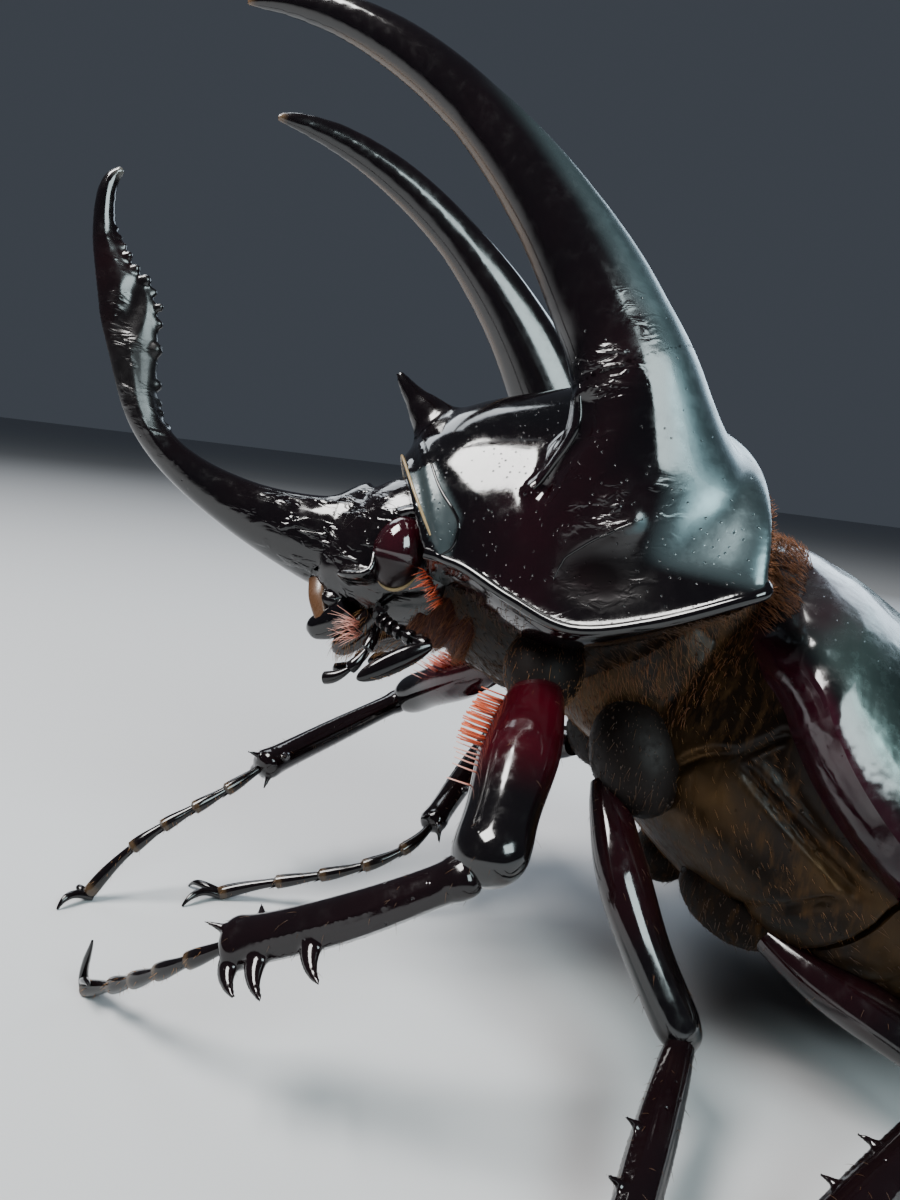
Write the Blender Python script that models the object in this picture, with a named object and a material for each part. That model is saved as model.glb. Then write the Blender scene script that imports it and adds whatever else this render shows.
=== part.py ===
"""Atlas beetle, a large horned male that stands reared up, as a life-size still model.

The fore body (head, pronotum, horns) and the hind body (thorax, abdomen, wing cases) are each drawn in
a frame of their own: x forward, y to the beetle's left, z up from the back. The legs are drawn where they
stand. Lengths are in millimetres and become metres where a mesh is made. The head points to -Y and the
left side to +X.
"""
import math
import random

import bmesh
import bpy
import numpy as np
from mathutils import Matrix, Vector

MM = 0.001
GAP = 0.3
SEED = 7

# Stance
FORE_PITCH = math.radians(9.3)
ROLL = math.radians(9.4)
HIND_PITCH = math.radians(26.9)
FORE_HEIGHT = 32.6
HIND_ORIGIN = (-1.0, 0.0, -1.0)
BODY_PLACE = (-7.6, 4.05)

# Cross-sections of the pronotum: x of the side edge, lean of the top, half width, edge height, top
PRONOTUM_ROWS = (
    (0.6, -0.6, 17.3, 1.2, 11.0),
    (-0.2, 0.2, 18.7, 0.2, 12.0),
    (1.2, 0.4, 18.9, -0.9, 13.2),
    (5.6, 0.2, 17.3, -3.6, 14.6),
    (10.0, 0.6, 15.1, -5.3, 14.4),
    (14.0, 1.6, 12.7, -4.4, 12.4),
    (17.2, 3.6, 10.6, -3.2, 9.6),
    (18.8, 4.4, 9.4, -2.9, 6.6),
    (19.4, 4.3, 8.9, -2.8, 5.3),
    (20.4, 3.9, 8.7, -2.8, 4.6),
)
PRONOTUM_UNDER = 2.2
PRONOTUM_RIM = 0.5

# Horns of the pronotum
HORN_PATH = ((9.4, 13.2, 10.9), (18.4, 11.6, 25.6), (33.8, 10.6, 34.3), (43.6, 7.7, 31.7))
HORN_ROOTS = ((6.2, 10.4, 1.0), (7.4, 12.2, 6.0))
HORN_ROOT_RADII = (8.2, 6.8)
HORN_RADII = ((0.0, 4.9), (0.1, 4.0), (0.28, 3.0), (0.48, 2.1), (0.66, 1.75), (0.84, 1.25), (0.95, 0.75),
              (1.0, 0.3))
HORN_FLATNESS = 0.74
MEDIAN_PATH = ((20.2, 0.0, 6.0), (22.6, 0.0, 8.6), (24.6, 0.0, 9.2), (26.4, 0.0, 11.2))
MEDIAN_RADII = ((0.0, 3.2), (0.35, 2.1), (0.65, 1.0), (0.9, 0.55), (1.0, 0.3))

# Horn of the head: x and z of its middle line, half depth, half width; then the row of knobs on its rear edge
CEPHALIC_ROWS = (
    (24.4, -2.4, 4.9, 3.4),
    (27.4, -3.4, 4.0, 3.0),
    (30.8, -3.4, 3.1, 2.4),
    (35.1, -2.8, 2.25, 1.8),
    (39.6, -1.5, 1.6, 1.4),
    (43.0, 0.3, 1.3, 1.15),
    (45.3, 2.8, 1.4, 1.05),
    (47.1, 7.0, 2.0, 0.95),
    (48.4, 9.9, 2.25, 0.9),
    (50.3, 12.6, 1.5, 0.8),
    (51.7, 15.0, 0.98, 0.7),
    (52.4, 17.6, 0.8, 0.6),
    (52.4, 19.3, 0.65, 0.5),
    (51.8, 20.4, 0.3, 0.3),
)
CEPHALIC_BEND = 11
COMB_SPAN = (0.42, 0.735)
COMB_COUNT = 9
COMB_RISE = 0.65
KNOB_RADII = (0.8, 0.55, 0.75)

# Head: x, half width, lowest and highest point
HEAD_ROWS = (
    (16.6, 5.0, -6.4, 1.6),
    (18.6, 6.1, -8.2, 3.0),
    (21.4, 6.3, -9.0, 3.6),
    (23.8, 5.7, -8.9, 3.0),
    (25.6, 4.6, -8.5, 1.6),
    (27.0, 3.7, -7.9, -0.4),
    (27.8, 3.0, -7.3, -2.6),
)
ANTENNA_BEADS = 6
CLUB_RADII = (1.05, 0.75, 2.95)
PALP_PATH = ((22.3, 3.9, -8.4), (22.2, 5.9, -11.0), (23.4, 5.8, -13.2), (25.1, 4.9, -13.6))
PALP_SHARES = (0.0, 0.33, 0.62, 1.0)
EYE_PLACE = (22.2, 5.6, -3.2)
EYE_RADII = (2.0, 2.1, 2.85)

# Under the pronotum: x, half width, lowest point
PROSTERNUM_ROWS = (
    (1.4, 9.5, -7.2),
    (4.5, 10.6, -9.2),
    (9.5, 9.8, -10.2),
    (14.0, 8.0, -9.6),
    (18.2, 6.2, -8.0),
)
PROSTERNUM_EDGE = -2.6
PROSTERNUM_ROOF = 2.6

# Hind body: x, half width over the wing cases, edge height, top height, belly height
HIND_ROWS = (
    (0.8, 13.6, 0.6, 7.2, -12.2),
    (-1.6, 16.2, -0.4, 8.9, -13.4),
    (-5.5, 18.6, -1.7, 10.2, -14.5),
    (-9.9, 20.1, -4.1, 10.7, -15.1),
    (-14.5, 21.0, -5.5, 10.9, -15.6),
    (-20.0, 21.4, -6.1, 10.6, -15.6),
    (-26.0, 20.8, -6.1, 9.7, -14.6),
    (-32.0, 18.9, -5.5, 8.0, -12.6),
    (-37.5, 15.6, -4.5, 5.6, -9.7),
    (-41.5, 11.4, -3.5, 3.2, -7.0),
    (-44.0, 6.8, -2.6, 0.9, -4.6),
)
WING_CASE_THICKNESS = 0.85
EPIPLEURON = (2.7, 1.5)
TRUNK_SHOULDER = 1.5
TRUNK_ROOM = 1.15
SHOULDER_SLANT = 3.0
SHOULDER_LENGTH = 7.0
THORAX_REAR = -19.0
THORAX_FRONT = 5.0
NECK_HEIGHT = -4.0
ABDOMEN_REAR = -43.4
BELLY_RINGS = 6
BELLY_GROOVE = 0.35
SCUTELLUM = (1.6, -4.4, 3.4, 7.8, 10.2, 1.4)
SHIELD_STEPS = 5
SHIELD_CROWN = 0.25

FOOT_LIFT = 0.36
# Legs: hip, knee, ankle and foot where they stand, before BODY_PLACE is added
LEGS = {
    "fore_left": ((9.7, -10.9, 27.4), (23.6, -14.5, 18.3), (19.9, -29.6, 9.6), (11.9, -41.2, 0.24)),
    "fore_right": ((-6.9, -11.3, 24.7), (-19.0, -20.5, 16.8), (-7.8, -33.4, 11.2), (-1.0, -46.1, FOOT_LIFT)),
    "mid_left": ((9.8, -5.6, 20.3), (19.8, -0.1, 6.7), (34.7, -6.8, 2.3), (51.9, -14.9, FOOT_LIFT)),
    "mid_right": ((-5.1, -4.8, 17.8), (-20.6, -9.8, 15.6), (-7.6, -17.1, 7.5), (-3.9, -35.5, FOOT_LIFT)),
    "hind_left": ((10.9, 4.9, 12.0), (22.0, 17.5, 7.0), (32.5, 3.5, 2.9), (47.0, 0.5, FOOT_LIFT)),
    "hind_right": ((-4.2, 3.9, 9.2), (-20.5, 8.5, 7.0), (-29.5, 24.0, 4.5), (-37.0, 38.0, FOOT_LIFT)),
}
# Half widths of each leg's femur, knee, tibia and tibia's end
LEG_WIDTHS = {"fore": (2.8, 2.5, 1.45, 1.8), "mid": (2.15, 1.85, 1.35, 1.5), "hind": (2.2, 1.75, 1.2, 1.6)}
FEMUR_BOW = {"fore": 0.0, "mid": 1.5, "hind": 0.3}
TIBIA_BOW = {"fore": -0.6, "mid": 0.0, "hind": 0.0}
# Ends of the two claws from the foot: forward, to the left, up
CLAW_ENDS = {
    "fore_left": ((-1.3, 0.5, 4.5), (-2.4, 1.3, 1.9)),
    "fore_right": ((2.4, 1.2, -0.3), (0.4, -1.4, -0.3)),
}
PLAIN_CLAWS = ((2.7, 1.9, -0.3), (2.7, -1.9, -0.3))
FEMUR_FLATNESS = 0.8
COXA_RADII = {"fore": (3.4, 2.9), "mid": (4.4, 3.3), "hind": (4.2, 2.6)}
COXA_SHIFT = {"fore": (0.0, 0.0, 0.0), "mid": (0.0, 2.2, 1.4), "hind": (0.0, 0.0, 0.0)}
HIP_SHARE = {"fore": 0.55, "mid": 0.2, "hind": 0.55}
FORE_TEETH = ((0.6, 3.4), (0.83, 3.4), (0.95, 2.7))
TOOTH_RADII = ((0.0, 0.95), (0.34, 0.75), (0.67, 0.42), (1.0, 0.08))
TARSUS_SHARES = (0.02, 0.2, 0.38, 0.56, 0.74, 1.0)
TARSUS_RADIUS = 0.62
CLAW_RADII = ((0, 0.42), (0.6, 0.32), (1, 0.1))
CLAW_ARCH = Vector((0, 0, 0.8))
# How far the two middle points of a foot's curve are raised
FOOT_ARCH = {"fore_right": (-1.6, 3.2), "fore_left": (-0.6, -0.8)}
FLOOR_BLOCK = 90.0
TIDY_STEPS = (0.01, 0.004, 0.001, 0.0)
PLAIN_SHAPES = {}

COLOURS = {
    "black": ((0.012, 0.010, 0.012, 1.0), 0.12),
    "maroon": ((0.06, 0.008, 0.012, 1.0), 0.16),
    "eye": ((0.05, 0.006, 0.012, 1.0), 0.06),
    "brown": ((0.07, 0.03, 0.014, 1.0), 0.45),
    "bronze": ((0.03, 0.035, 0.03, 1.0), 0.12),
}


def material(name):
    """One Principled finish, made the first time that it is asked for."""
    found = bpy.data.materials.get(name)
    if found:
        return found
    made = bpy.data.materials.new(name)
    made.use_nodes = True
    shader = made.node_tree.nodes["Principled BSDF"]
    shader.inputs["Base Color"].default_value = COLOURS[name][0]
    shader.inputs["Roughness"].default_value = COLOURS[name][1]
    shader.inputs["Metallic"].default_value = 0.0
    return made


def smooth_rows(rows, per_span):
    """Rows read off a smooth curve through the given rows, ends included."""
    rows = np.array(rows, float)
    padded = np.vstack([2 * rows[0] - rows[1], rows, 2 * rows[-1] - rows[-2]])
    made = []
    for i in range(len(rows) - 1):
        a, b, c, d = padded[i:i + 4]
        for t in np.arange(per_span) / per_span:
            made.append(0.5 * (2 * b + (c - a) * t + (2 * a - 5 * b + 4 * c - d) * t ** 2
                               + (3 * b - a - 3 * c + d) * t ** 3))
    made.append(rows[-1])
    return made


def row_at(rows, x):
    """The row at one x of a table whose first column is x."""
    table = np.array(sorted(smooth_rows(rows, 6), key=lambda row: row[0]))
    return [x] + [float(np.interp(x, table[:, 0], table[:, k])) for k in range(1, table.shape[1])]


def bezier(points, t):
    """A point of the cubic curve with these four control points."""
    a, b, c, d = (Vector(p) for p in points)
    s = 1 - t
    return a * s ** 3 + b * (3 * s * s * t) + c * (3 * s * t * t) + d * t ** 3


def make_object(name, points, faces, colour="black", parent=None):
    """An object from points in millimetres, its faces split into triangles and turned outwards."""
    shape = bmesh.new()
    verts = [shape.verts.new(Vector(p) * MM) for p in points]
    for face in faces:
        shape.faces.new([verts[i] for i in face])
    bmesh.ops.triangulate(shape, faces=shape.faces[:])
    bmesh.ops.recalc_face_normals(shape, faces=shape.faces[:])
    mesh = bpy.data.meshes.new(name)
    shape.to_mesh(mesh)
    shape.free()
    made = bpy.data.objects.new(name, mesh)
    bpy.context.collection.objects.link(made)
    mesh.materials.append(material(colour))
    made.parent = parent
    return made


def loft(rings):
    """Points and faces of a closed skin over rings of as many points each, with a fan at both ends."""
    count = len(rings[0])
    points = [Vector(p) for ring in rings for p in ring]
    faces = []
    for r in range(len(rings) - 1):
        for i in range(count):
            j = (i + 1) % count
            a, b = r * count + i, r * count + j
            c, d = (r + 1) * count + j, (r + 1) * count + i
            faces += [(a, b, c), (a, c, d)]
    for r in (0, len(rings) - 1):
        centre = sum((Vector(p) for p in rings[r]), Vector()) / count
        points.append(centre)
        faces += [(r * count + i, r * count + (i + 1) % count, len(points) - 1) for i in range(count)]
    return points, faces


def sweep(path, radii, side, flatness=1.0, sides=12):
    """Rings along a path: the radius across, and the flattened radius along side."""
    rings = []
    for i, here in enumerate(path):
        ahead = path[min(i + 1, len(path) - 1)] - path[max(i - 1, 0)]
        along = ahead.normalized()
        flat = (Vector(side) - along * along.dot(Vector(side))).normalized()
        tall = along.cross(flat)
        ring = []
        for k in range(sides):
            angle = 2 * math.pi * k / sides
            across, rise = math.cos(angle) * radii[i] * flatness, math.sin(angle) * radii[i]
            ring.append(here + flat * across + tall * rise)
        rings.append(ring)
    return rings


def curve_piece(name, controls, radii, side, flatness, steps, sides=12, roots=(), root_radii=(), **place):
    """A tapered piece along a cubic curve, its radii given at shares of the way, after any root points."""
    shares = [i / steps for i in range(steps + 1)]
    path = [Vector(root) for root in roots] + [bezier(controls, t) for t in shares]
    sizes = list(root_radii) + [float(np.interp(t, *zip(*radii))) for t in shares]
    return make_object(name, *loft(sweep(path, sizes, side, flatness, sides)), **place)


def limb(name, start, end, radii, hinge, flatness=1.0, sides=10, bow=0.0, **place):
    """A limb between two points, its radii given at shares of the way, bowed to the joint's inner side."""
    start, end = Vector(start), Vector(end)
    along = (end - start).normalized()
    inner = Vector(hinge).cross(along).normalized()
    path = [start.lerp(end, t) + inner * (bow * math.sin(math.pi * min(t, 1.0))) for t, size in radii]
    return make_object(name, *loft(sweep(path, [size for t, size in radii], hinge, flatness, sides)), **place)


def ball(name, centre, radii, turn=None, rows=6, sides=12, **place):
    """An ellipsoid, turned if a rotation is given."""
    turn = turn or Matrix.Identity(3)
    rings = []
    for r in range(1, rows):
        tilt = math.pi * r / rows
        ring = []
        for k in range(sides):
            angle = 2 * math.pi * k / sides
            local = Vector((math.cos(angle) * math.sin(tilt) * radii[0],
                            math.sin(angle) * math.sin(tilt) * radii[1], math.cos(tilt) * radii[2]))
            ring.append(Vector(centre) + turn @ local)
        rings.append(ring)
    points, faces = loft(rings)
    poles = (Vector((0, 0, radii[2])), Vector((0, 0, -radii[2])))
    for k, pole in enumerate(poles):
        points[-2 + k] = Vector(centre) + turn @ pole
    return make_object(name, points, faces, **place)


def jointed_piece(name, controls, shares, narrow, wide, sides=6, **place):
    """A chain of small joints along a cubic curve, narrow at each root and wide before each end."""
    stops, sizes = [], []
    for a, b in zip(shares, shares[1:]):
        stops += [a, a + (b - a) * 0.45, a + (b - a) * 0.86]
        sizes += [narrow, wide * 0.82, wide]
    stops.append(shares[-1])
    sizes.append(narrow)
    path = [bezier(controls, t) for t in stops]
    return make_object(name, *loft(sweep(path, sizes, (0.1, 0.2, 1.0), 1.0, sides)), **place)


def spine(base, tip, radius, sides=5, colour="black", parent=None):
    """A small pointed tooth whose root lies at base."""
    base, tip = Vector(base), Vector(tip)
    along = (tip - base).normalized()
    across = along.orthogonal().normalized()
    rim = [base + Matrix.Rotation(2 * math.pi * k / sides, 3, along) @ across * radius for k in range(sides)]
    faces = [(k, (k + 1) % sides, sides) for k in range(sides)] + [tuple(range(sides))]
    return make_object("tooth", rim + [tip], faces, colour, parent)


def largest_surface(mesh, tolerance):
    """The largest surface of a mesh, tidied of slivers below the tolerance, and whether it is closed."""
    shape = bmesh.new()
    shape.from_mesh(mesh)
    if tolerance:
        bmesh.ops.remove_doubles(shape, verts=shape.verts[:], dist=tolerance * MM)
        bmesh.ops.dissolve_degenerate(shape, edges=shape.edges[:], dist=tolerance * MM)
    bmesh.ops.triangulate(shape, faces=shape.faces[:])
    left, groups = set(shape.faces), []
    while left:
        group, waiting = [], [left.pop()]
        while waiting:
            face = waiting.pop()
            group.append(face)
            near = {other for edge in face.edges for other in edge.link_faces if other in left}
            left -= near
            waiting += near
        groups.append(group)
    groups.sort(key=lambda group: -sum(face.calc_area() for face in group))
    for group in groups[1:]:
        bmesh.ops.delete(shape, geom=group, context="FACES")
    closed = all(len(edge.link_faces) == 2 for edge in shape.edges)
    return shape, closed


def keep_largest(target, mesh):
    """Give the target the largest closed surface of a mesh, tidied as far as it stays closed."""
    for tolerance in TIDY_STEPS:
        shape, closed = largest_surface(mesh, tolerance)
        if closed:
            shape.to_mesh(mesh)
            target.data = mesh
        shape.free()
        if closed:
            return True
    return False


def boolean(target, pieces, operation):
    """Join the pieces to the target or cut it by them with one modifier, then remove them."""
    group = bpy.data.collections.new("pieces")
    bpy.context.scene.collection.children.link(group)
    for piece in pieces:
        group.objects.link(piece)
    modifier = target.modifiers.new(operation, "BOOLEAN")
    modifier.operation = operation
    modifier.operand_type = "COLLECTION"
    modifier.collection = group
    results = []
    for solver in ("EXACT", "MANIFOLD"):
        modifier.solver = solver
        bpy.context.view_layer.update()
        seen = target.evaluated_get(bpy.context.evaluated_depsgraph_get())
        results.append(bpy.data.meshes.new_from_object(seen))
    target.modifiers.remove(modifier)
    for piece in pieces:
        bpy.data.objects.remove(piece)
    bpy.data.collections.remove(group)
    if not any(keep_largest(target, mesh) for mesh in results):
        raise ValueError(target.name + " doesn't close")


def fuse(name, pieces):
    """One closed node from overlapping pieces, whose plain shapes are kept for seating its neighbours."""
    body, rest = pieces[0], pieces[1:]
    body.name = name
    PLAIN_SHAPES[name] = [piece.data.copy() for piece in pieces]
    if rest:
        boolean(body, rest, "UNION")
    return body


def swollen(mesh, parent):
    """A solid that is larger all round by the gap that touching pieces keep."""
    copy = bpy.data.objects.new("seat", mesh.copy())
    bpy.context.collection.objects.link(copy)
    copy.parent = parent
    normals = [vert.normal.copy() for vert in copy.data.vertices]
    for vert, normal in zip(copy.data.vertices, normals):
        vert.co += normal * (GAP * MM)
    return copy


def seat(child, *neighbours):
    """Cut the child clear of its neighbours, so that it meets them face to face."""
    cutters = []
    for solid in neighbours:
        shapes = PLAIN_SHAPES.get(solid.name) or [solid.data]
        cutters += [swollen(mesh, solid.parent) for mesh in shapes]
    PLAIN_SHAPES.setdefault(child.name, [child.data.copy()])
    boolean(child, cutters, "DIFFERENCE")
    return child


def body_frames():
    """Two empties that carry the fore body and the hind body."""
    forward = Vector((0, -math.cos(FORE_PITCH), math.sin(FORE_PITCH)))
    upright = Vector((0, math.sin(FORE_PITCH), math.cos(FORE_PITCH)))
    left = Vector((math.cos(ROLL), 0, 0)) + upright * math.sin(ROLL)
    up = forward.cross(left)
    fore = bpy.data.objects.new("fore_body", None)
    hind = bpy.data.objects.new("hind_body", None)
    for empty in (fore, hind):
        bpy.context.collection.objects.link(empty)
    turn = Matrix((forward, left, up)).transposed()
    place = Vector((*BODY_PLACE, FORE_HEIGHT)) * MM
    fore.matrix_world = Matrix.Translation(place) @ turn.to_4x4()
    hind.parent = fore
    hind.location = Vector(HIND_ORIGIN) * MM
    hind.rotation_euler = (0, -HIND_PITCH, 0)
    return fore, hind


def pronotum_ring(row, count=32):
    """One cross-section of the pronotum, from the left edge over the top and back underneath."""
    x, lean, width, edge, top = row
    half = count // 2
    ring = []
    for k in range(count):
        angle = 2 * math.pi * k / count
        across, rise = math.cos(angle), math.sin(angle)
        if k in (0, half):
            ring.append((x, across * (width + PRONOTUM_RIM), edge))
        elif k < half:
            ring.append((x + lean * rise, across * width, edge + (top - edge) * rise ** 1.08))
        else:
            ring.append((x + lean * 0.2 * rise, across * width * 0.96, edge + PRONOTUM_UNDER * rise))
    return ring


def make_pronotum(fore):
    rings = [pronotum_ring(row) for row in smooth_rows(PRONOTUM_ROWS, 2)]
    return make_object("pronotum", *loft(rings), "black", fore)


def make_pronotum_horns(fore, pronotum):
    horns = []
    for side, name in ((1, "left"), (-1, "right")):
        controls = [(x, y * side, z) for x, y, z in HORN_PATH]
        roots = [(x, y * side, z) for x, y, z in HORN_ROOTS]
        horn = curve_piece("thoracic_horn_" + name, controls, HORN_RADII, (0, 1, 0), HORN_FLATNESS, 16, 14,
                           roots, HORN_ROOT_RADII, colour="black", parent=fore)
        horns.append(seat(horn, pronotum))
    median = curve_piece("median_horn", MEDIAN_PATH, MEDIAN_RADII, (0, 1, 0), 0.8, 8, 10,
                         colour="black", parent=fore)
    horns.append(seat(median, pronotum))
    return horns


def make_head(fore, pronotum):
    rings = []
    for x, width, low, high in HEAD_ROWS:
        middle, height = (low + high) / 2, (high - low) / 2
        ring = []
        for k in range(18):
            angle = 2 * math.pi * k / 18
            across, rise = math.cos(angle), math.sin(angle)
            ring.append((x, math.copysign(abs(across) ** 0.85, across) * width,
                         middle + math.copysign(abs(rise) ** 0.85, rise) * height))
        rings.append(ring)
    skull = make_object("head", *loft(rings), "black", fore)
    clypeus = ball("clypeus", (26.2, 0, -7.9), (1.6, 3.4, 1.3), rows=5, sides=12, parent=fore)
    canthi = [ball("canthus", (24.7, side * 5.4, -5.4), (1.7, 1.6, 0.8), rows=4, sides=10, parent=fore)
              for side in (1, -1)]
    return seat(fuse("head", [skull, clypeus] + canthi), pronotum)


def make_cephalic_horn(fore, head):
    """The head's horn in two lengths that meet at its bend: a smooth base, and a knobbed blade."""
    rows = smooth_rows(CEPHALIC_ROWS, 2)
    path = [Vector((row[0], 0, row[1])) for row in rows]
    depths = [row[2] for row in rows]
    rings = sweep(path, depths, (0, 1, 0), 1.0, 10)
    for ring, middle, row in zip(rings, path, rows):
        for point in ring:
            point.y *= row[3] / row[2]
    base = make_object("cephalic_horn_base", *loft(rings[:CEPHALIC_BEND + 1]), "black", fore)
    seat(base, head)
    blade = make_object("blade", *loft(rings[CEPHALIC_BEND:]), "black", fore)
    draw = random.Random(SEED)
    knobs = []
    for i in range(COMB_COUNT):
        share = COMB_SPAN[0] + (COMB_SPAN[1] - COMB_SPAN[0]) * i / (COMB_COUNT - 1)
        k = int(share * (len(path) - 1))
        along = (path[k + 1] - path[k]).normalized()
        here = path[k].lerp(path[k + 1], share * (len(path) - 1) - k)
        rear = Vector((-along.z, 0, along.x))
        reach = depths[k] + COMB_RISE * (0.3 + 0.7 * draw.random())
        turn = along.to_track_quat("Z", "Y").to_matrix()
        knobs.append(ball("knob", here + rear * (reach - KNOB_RADII[0]), KNOB_RADII, turn, 4, 6, parent=fore))
    return seat(fuse("cephalic_horn_tip", [blade] + knobs), base)


def make_mouth_and_feelers(fore, head, pronotum):
    for side, name in ((1, "left"), (-1, "right")):
        x, y, z = EYE_PLACE
        eye = ball("eye_" + name, (x, y * side, z), EYE_RADII, None, 8, 14, colour="eye", parent=fore)
        seat(eye, head, pronotum)
        mandible = limb("mandible_" + name, (24.6, side * 2.9, -8.3), (27.4, side * 2.1, -10.6),
                        ((0, 1.3), (0.5, 1.25), (0.8, 1.0), (1, 0.45)), (0, 1, 0), 0.85, 10,
                        colour="black", parent=fore)
        seat(mandible, head)
        maxilla = limb("maxilla_" + name, (22.6, side * 3.3, -8.2), (25.0, side * 2.6, -11.6),
                       ((0, 1.2), (0.5, 1.1), (0.8, 0.9), (1, 0.45)), (0, 1, 0), 0.8, 10,
                       colour="brown", parent=fore)
        seat(maxilla, head, mandible)
        make_palp(fore, head, maxilla, side, name)
        make_antenna(fore, head, side, name)
    labium = limb("labium", (19.0, 0, -8.2), (23.8, 0, -10.8),
                  ((0, 2.2), (0.5, 2.1), (0.85, 1.5), (1, 0.8)), (0, 0, 1), 0.6, 12,
                  colour="black", parent=fore)
    seat(labium, head, *(bpy.data.objects[n] for n in ("maxilla_left", "maxilla_right")))


def make_palp(fore, head, maxilla, side, name):
    controls = [(x, y * side, z) for x, y, z in PALP_PATH]
    palp = jointed_piece("palp_" + name, controls, PALP_SHARES, 0.32, 0.5, 7, colour="black", parent=fore)
    return seat(palp, head, maxilla)


def make_antenna(fore, head, side, name):
    root, bend = Vector((22.6, side * 4.6, -7.2)), Vector((22.2, side * 7.2, -8.4))
    rear, club_end = Vector((18.4, side * 9.2, -9.1)), Vector((22.4, side * 9.6, -12.5))
    controls = (root, bend, bend, rear)
    shares = [0.0, 0.34] + [0.34 + 0.66 * i / ANTENNA_BEADS for i in range(1, ANTENNA_BEADS + 1)]
    stalk = jointed_piece("stalk", controls, shares, 0.36, 0.6, 7, colour="black", parent=fore)
    turn = (club_end - rear).to_track_quat("Z", "Y").to_matrix()
    club = ball("club", rear.lerp(club_end, 0.48), CLUB_RADII, turn, 8, 10, colour="black", parent=fore)
    return seat(fuse("antenna_" + name, [stalk, club]), head)


def make_prosternum(fore, pronotum, head):
    rings = []
    for x, width, low in smooth_rows(PROSTERNUM_ROWS, 2):
        ring = []
        for k in range(20):
            angle = math.pi * k / 10
            depth = PROSTERNUM_ROOF if k <= 10 else PROSTERNUM_EDGE - low
            ring.append((x, math.cos(angle) * width, PROSTERNUM_EDGE + math.sin(angle) * depth))
        rings.append(ring)
    plate = make_object("prosternum", *loft(rings), "brown", fore)
    return seat(plate, pronotum, head)


def wing_case_ring(row, side, count=10):
    """One cross-section of a wing case: its back from the seam to the edge, then its inner face."""
    x, width, edge, top = row[:4]
    front, rear, half = SCUTELLUM[:3]
    seam = GAP / 2 + max(0.0, (x - rear) / (front - rear)) * (half + GAP)
    slant = SHOULDER_SLANT * max(0.0, 1 + x / SHOULDER_LENGTH)
    thin_width, thin_top = width - WING_CASE_THICKNESS * 1.2, top - WING_CASE_THICKNESS
    outer, inner = [], []
    for k in range(count + 1):
        angle = 0.5 * math.pi * k / count
        across, rise = math.sin(angle), math.cos(angle) ** 1.15
        back = x - slant * (1 - rise)
        outer.append((back, seam + across * (width - seam), edge + (top - edge) * rise))
        inner.append((back, seam + across * (thin_width - seam), edge + (thin_top - edge) * rise))
    inner[-1] = (x - slant, thin_width - EPIPLEURON[0], edge - EPIPLEURON[1])
    ring = outer + inner[::-1]
    return [(x, y * side, z) for x, y, z in ring]


def make_hind_body(hind, fore_solids, cases):
    """Thorax and abdomen: one trunk under the wing cases, parted behind the thorax."""
    inset = WING_CASE_THICKNESS + TRUNK_ROOM

    def trunk_ring(row, groove=0.0):
        x, width, edge, top, belly = row
        side_width, roof, floor = width - inset * 1.5 - groove, top - inset - groove, belly + groove
        shoulder, waist = edge + TRUNK_SHOULDER, edge - EPIPLEURON[1] - 2 * GAP
        waist_width = max(width - WING_CASE_THICKNESS * 1.2 - EPIPLEURON[0] - 3 * GAP, 0.3 * width)
        ring = []
        for k in range(15):
            angle = math.pi * k / 14
            rise = math.sin(angle) ** 1.1
            ring.append((x, math.cos(angle) * side_width, shoulder + (roof - shoulder) * rise))
        for k in range(13):
            angle = math.pi * k / 12
            across = math.copysign(abs(math.cos(angle)) ** 0.75, math.cos(angle))
            ring.append((x, -across * waist_width, waist + (floor - waist) * math.sin(angle)))
        return ring

    def trunk(name, start, end, steps, colour, grooved=False):
        rings = []
        for i in range(steps + 1):
            groove = BELLY_GROOVE if grooved and i % 2 else 0.0
            x = start + (end - start) * i / steps
            sized_at = x + SHOULDER_SLANT * max(0.0, 1 + x / SHOULDER_LENGTH)
            rings.append(trunk_ring([x] + row_at(HIND_ROWS, sized_at)[1:], groove))
        return make_object(name, *loft(rings), colour, hind)

    thorax = trunk("thorax", 0.8, THORAX_REAR, 8, "brown")
    neck = limb("neck", (-2.0, 0, NECK_HEIGHT), (THORAX_FRONT, 0, NECK_HEIGHT),
                ((0, 8.6), (0.6, 8.6), (1, 8.0)), (0, 1, 0), 1.08, 16, colour="brown", parent=hind)
    thorax = seat(fuse("thorax", [thorax, neck]), *fore_solids, *cases)
    abdomen = trunk("abdomen", THORAX_REAR - GAP, ABDOMEN_REAR, 2 * BELLY_RINGS, "brown", True)
    return thorax, seat(abdomen, *cases)


def make_wing_cases(hind):
    cases = []
    for side, name in ((1, "left"), (-1, "right")):
        rings = [wing_case_ring(row, side) for row in HIND_ROWS]
        cases.append(make_object("elytron_" + name, *loft(rings), "bronze", hind))
    return cases


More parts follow.
